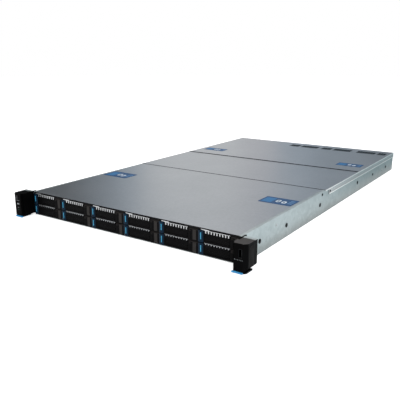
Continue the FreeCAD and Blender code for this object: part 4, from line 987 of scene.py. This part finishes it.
BAY_LEFT, BAY_PITCH = -217.5, 72.5
bm = bmesh.new()
for column in range(6):
    left = BAY_LEFT + BAY_PITCH * column
    block(bm, (left + 5, -2.6, 39.5), (left + 19, -1.8, 41), 0, 0.3, 2)
finish_piece("grounding_springs", bm, [nickel_and_highlight_steel], "chassis")
print(len(RAIL_HOLES), "rail holes on each side, and springs over six bays")

# %% [markdown]
# Light pipes and signs are moulded polycarbonate. The server is off, so they have no glow, and
# only their tone sets them off from the black. A noise makes it a little uneven, as in a thick
# milky plastic.


# %% Lamp lenses
def lens_glass(name, colour):
    """Moulded polycarbonate, milky enough to hide what is behind it."""
    material, tree, shader, place = start(name, Roughness=0.25, IOR=1.5)
    cloud = add(tree, "ShaderNodeTexNoise", {"Vector": place, "Scale": per_metre(1.5)})
    darker = [c * 0.8 for c in linear(colour)[:3]] + [1]
    mix = add(tree, "ShaderNodeMix", {"Factor": cloud.outputs["Fac"], 6: linear(colour), 7: darker},
              data_type="RGBA")
    feed(shader, {"Base Color": mix.outputs[2]})
    return material


# unlit lenses: smooth greys, and one dull green, that stand out from the black only by tone
white_lens = lens_glass("milky_polycarbonate_lens", "#6f7679")
pale_lens = lens_glass("clear_polycarbonate_lens", "#8f9699")
green_lens = lens_glass("green_polycarbonate_lens", "#1f4f33")
print("three lens finishes")

# %% [markdown]
# The ears hold the controls. On the left, a ring frames the power button, whose face is a low
# disc with a pale dot, and four small light pipes sit below it.

# %% Ear controls
front_y = corners("left_rack_handle")[0].y
key_low, key_high = corners("power_button")
key = (key_low + key_high) / 2
bm = bmesh.new()
washer(bm, (key.x, front_y, key.z), "-y", 4.3, 3.45, 0.4)
finish_piece("button_ring", bm, [button_abs], "chassis")

bm = bmesh.new()
disc(bm, (key.x, key_low.y, key.z), "-y", 2.4, 0.12, 0, segments=28, bevel=0.05)
disc(bm, (key.x, key_low.y - 0.12, key.z), "-y", 0.5, 0.06, 1, segments=24)
finish_piece("button_face", bm, [button_abs, white_lens], "power_key")

LIGHTS_X = -228.4
bm = bmesh.new()
# each light: the height of its lower edge, its width, its own height and its material
for z, wide, tall, finish in ((30.2, 8, 0.8, 0), (23.2, 5.6, 2.4, 2), (17.2, 3.6, 0.8, 0), (13.4, 3, 1, 1)):
    block(bm, (LIGHTS_X - wide / 2, front_y - 0.15, z), (LIGHTS_X + wide / 2, front_y + 0.2, z + tall),
          finish, 0.12)
finish_piece("ear_lights_left", bm, [white_lens, green_lens, pale_lens], "chassis")
print("left ear: ring, button face and four light pipes")

# %% [markdown]
# On the right is the front socket: a shell of four thin walls round a tongue with four gold
# contacts. Six short pale marks stand below it, where such servers have small signs.

# %% Front socket
LEFT, RIGHT, FOOT, HEAD, WALL = 228.9, 234.1, 22.9, 35.1, 0.3
bm = bmesh.new()
# the shell's left, right, upper and lower wall, each as X and Z of two corners
for x0, z0, x1, z1 in ((LEFT, FOOT, LEFT + WALL, HEAD), (RIGHT - WALL, FOOT, RIGHT, HEAD),
                       (LEFT, HEAD - WALL, RIGHT, HEAD), (LEFT, FOOT, RIGHT, FOOT + WALL)):
    block(bm, (x0, -29.6, z0), (x1, -17, z1))
block(bm, (231.9, -27.5, 24.4), (233.1, -16.2, 33.6), 1, 0.1)
for k in range(4):
    block(bm, (231.75, -27, 25.3 + 2.1 * k), (231.9, -19, 26.3 + 2.1 * k), 2)
finish_piece("front_socket_parts", bm, [black_nickel, socket_lcp, gold_contact], "chassis")

SIGNS_Z, SIGN_STEP, SIGN_WIDTH = 19.6, 2.5, 0.9
corner = corners("right_rack_handle")[0]
bm = bmesh.new()
for k, tall in enumerate((1.6, 1.0, 1.8, 1.2, 1.6, 0.9)):
    left = corner.x + 4 + SIGN_STEP * k
    block(bm, (left, corner.y - 0.06, SIGNS_Z - tall / 2),
          (left + SIGN_WIDTH, corner.y + 0.1, SIGNS_Z + tall / 2), 0)
finish_piece("ear_signs_right", bm, [white_lens], "chassis")
print("right ear: socket with tongue and four contacts, and six marks")

# %% [markdown]
# Each ear gets four grip ribs on its outer wall, a bar of painted shade along its inner edge, a
# bracket of zinc-coated steel behind its head, and a rounded lip on the release tab below it.
# All of them come in pairs, so one loop makes both sides.

# %% Ear ribs, brackets and tab lips
EAR_INNER, EAR_OUTER = 221, 241.3
for side, name, way in SIDES:
    top = corners(name + "_rack_handle")[1].z
    bm = bmesh.new()
    for y in (-22, -18.5, -15, -11.5):
        x = span(side, EAR_OUTER - 0.2, EAR_OUTER + 0.35)
        block(bm, (x[0], y, 9), (x[1], y + 1.1, 38), 0, 0.2)
    # a bar of painted shade along the ear's inner edge
    x = span(side, EAR_INNER - 1.3, EAR_INNER + 0.9)
    block(bm, (x[0], -15, top - 0.6), (x[1], 5.3, top + 0.5), 1, 0.1)
    finish_piece(name + "_ear_ribs", bm, [dark_abs, painted_shade_black], "chassis")
    bm = bmesh.new()
    x = span(side, EAR_INNER + 0.9, EAR_OUTER)
    block(bm, (x[0], -6, top - 0.05), (x[1], -0.05, top + 0.3), 0, 0.1)
    finish_piece(name + "_ear_bracket", bm, [galvanised_steel], "chassis")
    bm = bmesh.new()
    x = span(side, 218.8, 236)
    block(bm, (x[0], -31.6, 0.15), (x[1], -28.8, 2.3), 0, 0.4, 2)
    finish_piece(name + "_tab_lip", bm, [tab_blue], name + "_tab")
print("ribs, brackets and lips on both ears")

# %% [markdown]
# The rear sockets are steel shells in the CAD. Here they get what a plug meets inside: a row of
# gold contacts in the network sockets, and a tongue with contacts in the USB sockets.

# %% Rear sockets
sockets = solids("rear_ports")
bm = bmesh.new()
for low, high in sockets:
    x, wide = (low.x + high.x) / 2, high.x - low.x
    if wide > 15:
        for k in range(8):
            left = x - 4.1 + 1.02 * k
            block(bm, (left, high.y - 12, low.z + 9.6), (left + 0.5, high.y - 3, low.z + 10), 2)
        block(bm, (x - 5.5, high.y - 14.6, low.z + 10), (x + 5.5, high.y - 2.5, low.z + 12.1), 1)
    else:
        block(bm, (x - 4.8, high.y - 14.6, low.z + 3.1), (x + 4.8, high.y - 2, low.z + 4.3), 1, 0.1)
        for k in range(4):
            left = x - 3.9 + 2.1 * k
            block(bm, (left, high.y - 10, low.z + 2.95), (left + 1, high.y - 3, low.z + 3.1), 2)
finish_piece("rear_socket_parts", bm, [tin_shell, socket_lcp, gold_contact], "chassis")
print("contacts in", len(sockets), "sockets")

# %% [markdown]
# Under the covers each memory module carries eight chips on either face, with a gap in the
# middle, and a latch stands at each end of its slot. The chips are plain blocks, because there
# are hundreds of them.

# %% Memory chips and latches
modules = solids("memory_modules")
bm = bmesh.new()
for low, high in modules:
    pitch = (high.y - low.y) / 9
    for k in range(9):
        y = low.y + pitch * (k + 0.5)
        if k != 4:
            for x0, x1 in ((low.x - 0.9, low.x), (high.x, high.x + 0.9)):
                block(bm, (x0, y - 4.6, low.z + 6), (x1, y + 4.6, low.z + 17), 0)
finish_piece("memory_chips", bm, [epoxy], "chassis")

bm = bmesh.new()
for low, high in modules:
    x = (low.x + high.x) / 2
    for y, way in ((low.y, -1), (high.y, 1)):
        a, b = sorted((y + way * 0.3, y + way * 3.6))
        block(bm, (x - 1.7, a, low.z), (x + 1.7, b, low.z + 13), 0, 0.4)
finish_piece("memory_latches", bm, [label_pale], "chassis")
print("chips and latches on", len(modules), "modules")

# %% [markdown]
# In front of each processor stand the coils and capacitors of its power supply, in three rows.
# Chips, headers and a coin cell are spread over the rest of the board. They are low blocks and
# discs with rounded edges, enough to be seen when a cover is lifted.

# %% Board parts
COIL, CAP, PART_STEP = 7.5, 3.2, 12.8
bm = bmesh.new()
for side in (-1, 1):
    for k in range(6):
        x = side * CPU_X - 32 + PART_STEP * k
        block(bm, (x - COIL / 2, 206, BOARD_TOP), (x + COIL / 2, 206 + COIL, BOARD_TOP + 6), 0, 0.5)
        block(bm, (x - 2.2, 217, BOARD_TOP), (x + 2.2, 221, BOARD_TOP + 1), 1)
        disc(bm, (x, 196, BOARD_TOP), "z", CAP, 8.5, 2, segments=16, bevel=0.5)
# each chip: its middle, width and depth
for x, y, wide, deep in ((20, 440, 27, 27), (-40, 470, 22, 22), (160, 470, 17, 17), (0, 610, 24, 24),
                         (170, 620, 20, 14), (-30, 660, 14, 20), (90, 700, 12, 12), (-130, 470, 30, 12)):
    low, high = (x - wide / 2, y - deep / 2, BOARD_TOP), (x + wide / 2, y + deep / 2, BOARD_TOP + 1.4)
    block(bm, low, high, 1, 0.2)
for k in range(7):
    block(bm, (-195 + 22 * k, 185, BOARD_TOP), (-185 + 22 * k, 191, BOARD_TOP + 9), 3, 0.3)
disc(bm, (-4, 520, BOARD_TOP), "z", 10, 3.2, 4, segments=32, bevel=0.4)
block(bm, (-15, 509, BOARD_TOP), (7, 531, BOARD_TOP + 1.2), 3, 0.3)
finish_piece("board_parts", bm, [dark_abs, epoxy, tin_shell, socket_lcp, screw_steel],
             "chassis")
print("coils, capacitors, chips and a cell on the board")

# %% [markdown]
# Each heatsink is held by four sprung screws. The spring is drawn as a plain sleeve, because
# it is seldom seen, and a flat head stands on it.

# %% Heatsink screws
heatsinks = solids("heatsinks")
bm = bmesh.new()
for low, high in heatsinks:
    for x in (low.x + 5, high.x - 5):
        for y in (low.y + 6, high.y - 6):
            disc(bm, (x, y, low.z + 5), "z", 3, 9, 0, segments=20)
            screw(bm, (x, y, low.z + 14), "z", 3.6, 1.6)
finish_piece("heatsink_screws", bm, [screw_steel, painted_shade_black], "chassis")
print("four screws on each of", len(heatsinks), "heatsinks")

# %% [markdown]
# A guard of four wire rings on four spokes covers each power supply's exhaust, with the hub of
# its fan behind and a small green lens beside it. A ring is a circle of eight points that is
# spun once about the Y axis and closes on itself.


# %% Exhaust guards
def wire_ring(bm, at, radius, wire, steps=40):
    """A closed ring of wire about the Y axis; a tag marks the rings that are already in place."""
    verts = bmesh.ops.create_circle(bm, segments=8, radius=wire / 2 * MM)["verts"]
    bmesh.ops.translate(bm, verts=verts, vec=(radius * MM, 0, 0))
    bmesh.ops.spin(bm, geom=verts + edges_of(verts), cent=(0, 0, 0), axis=(0, 1, 0), angle=math.tau,
                   steps=steps, use_merge=True)
    verts = [vert for vert in bm.verts if not vert.tag]
    bmesh.ops.translate(bm, verts=verts, vec=Vector(at) * MM)
    for vert in verts:
        vert.tag = True


WIRE, SPOKE, HUB = 1.2, 16.8, 5
for i in (1, 2):
    low, high = corners("power_supply_%d" % i)
    centre = Vector((low.x + 21, CASE_REAR - 0.6, (low.z + high.z) / 2))
    bm = bmesh.new()
    for radius in (5, 9, 13, 16.6):
        wire_ring(bm, centre, radius, WIRE)
    for turn in (45, 135):
        faces = block(bm, (-SPOKE, -0.5, -0.5), (SPOKE, 0.1, 0.5))
        verts = list({vert for face in faces for vert in face.verts})
        bmesh.ops.rotate(bm, verts=verts, matrix=Matrix.Rotation(math.radians(turn), 3, "Y"))
        bmesh.ops.translate(bm, verts=verts, vec=centre * MM)
    block(bm, (centre.x - HUB, CASE_REAR - 5.8, centre.z - HUB),
          (centre.x + HUB, CASE_REAR - 4.8, centre.z + HUB), 1, 0.4)
    disc(bm, (low.x + 57, CASE_REAR - 0.1, low.z + 35.2), "y", 1.4, 0.3, 2, segments=20, bevel=0.1)
    finish_piece("exhaust_guard_%d" % i, bm, [screw_steel, fan_pbt, green_lens],
                 "supply_%d" % i)
print("guards on both power supplies")
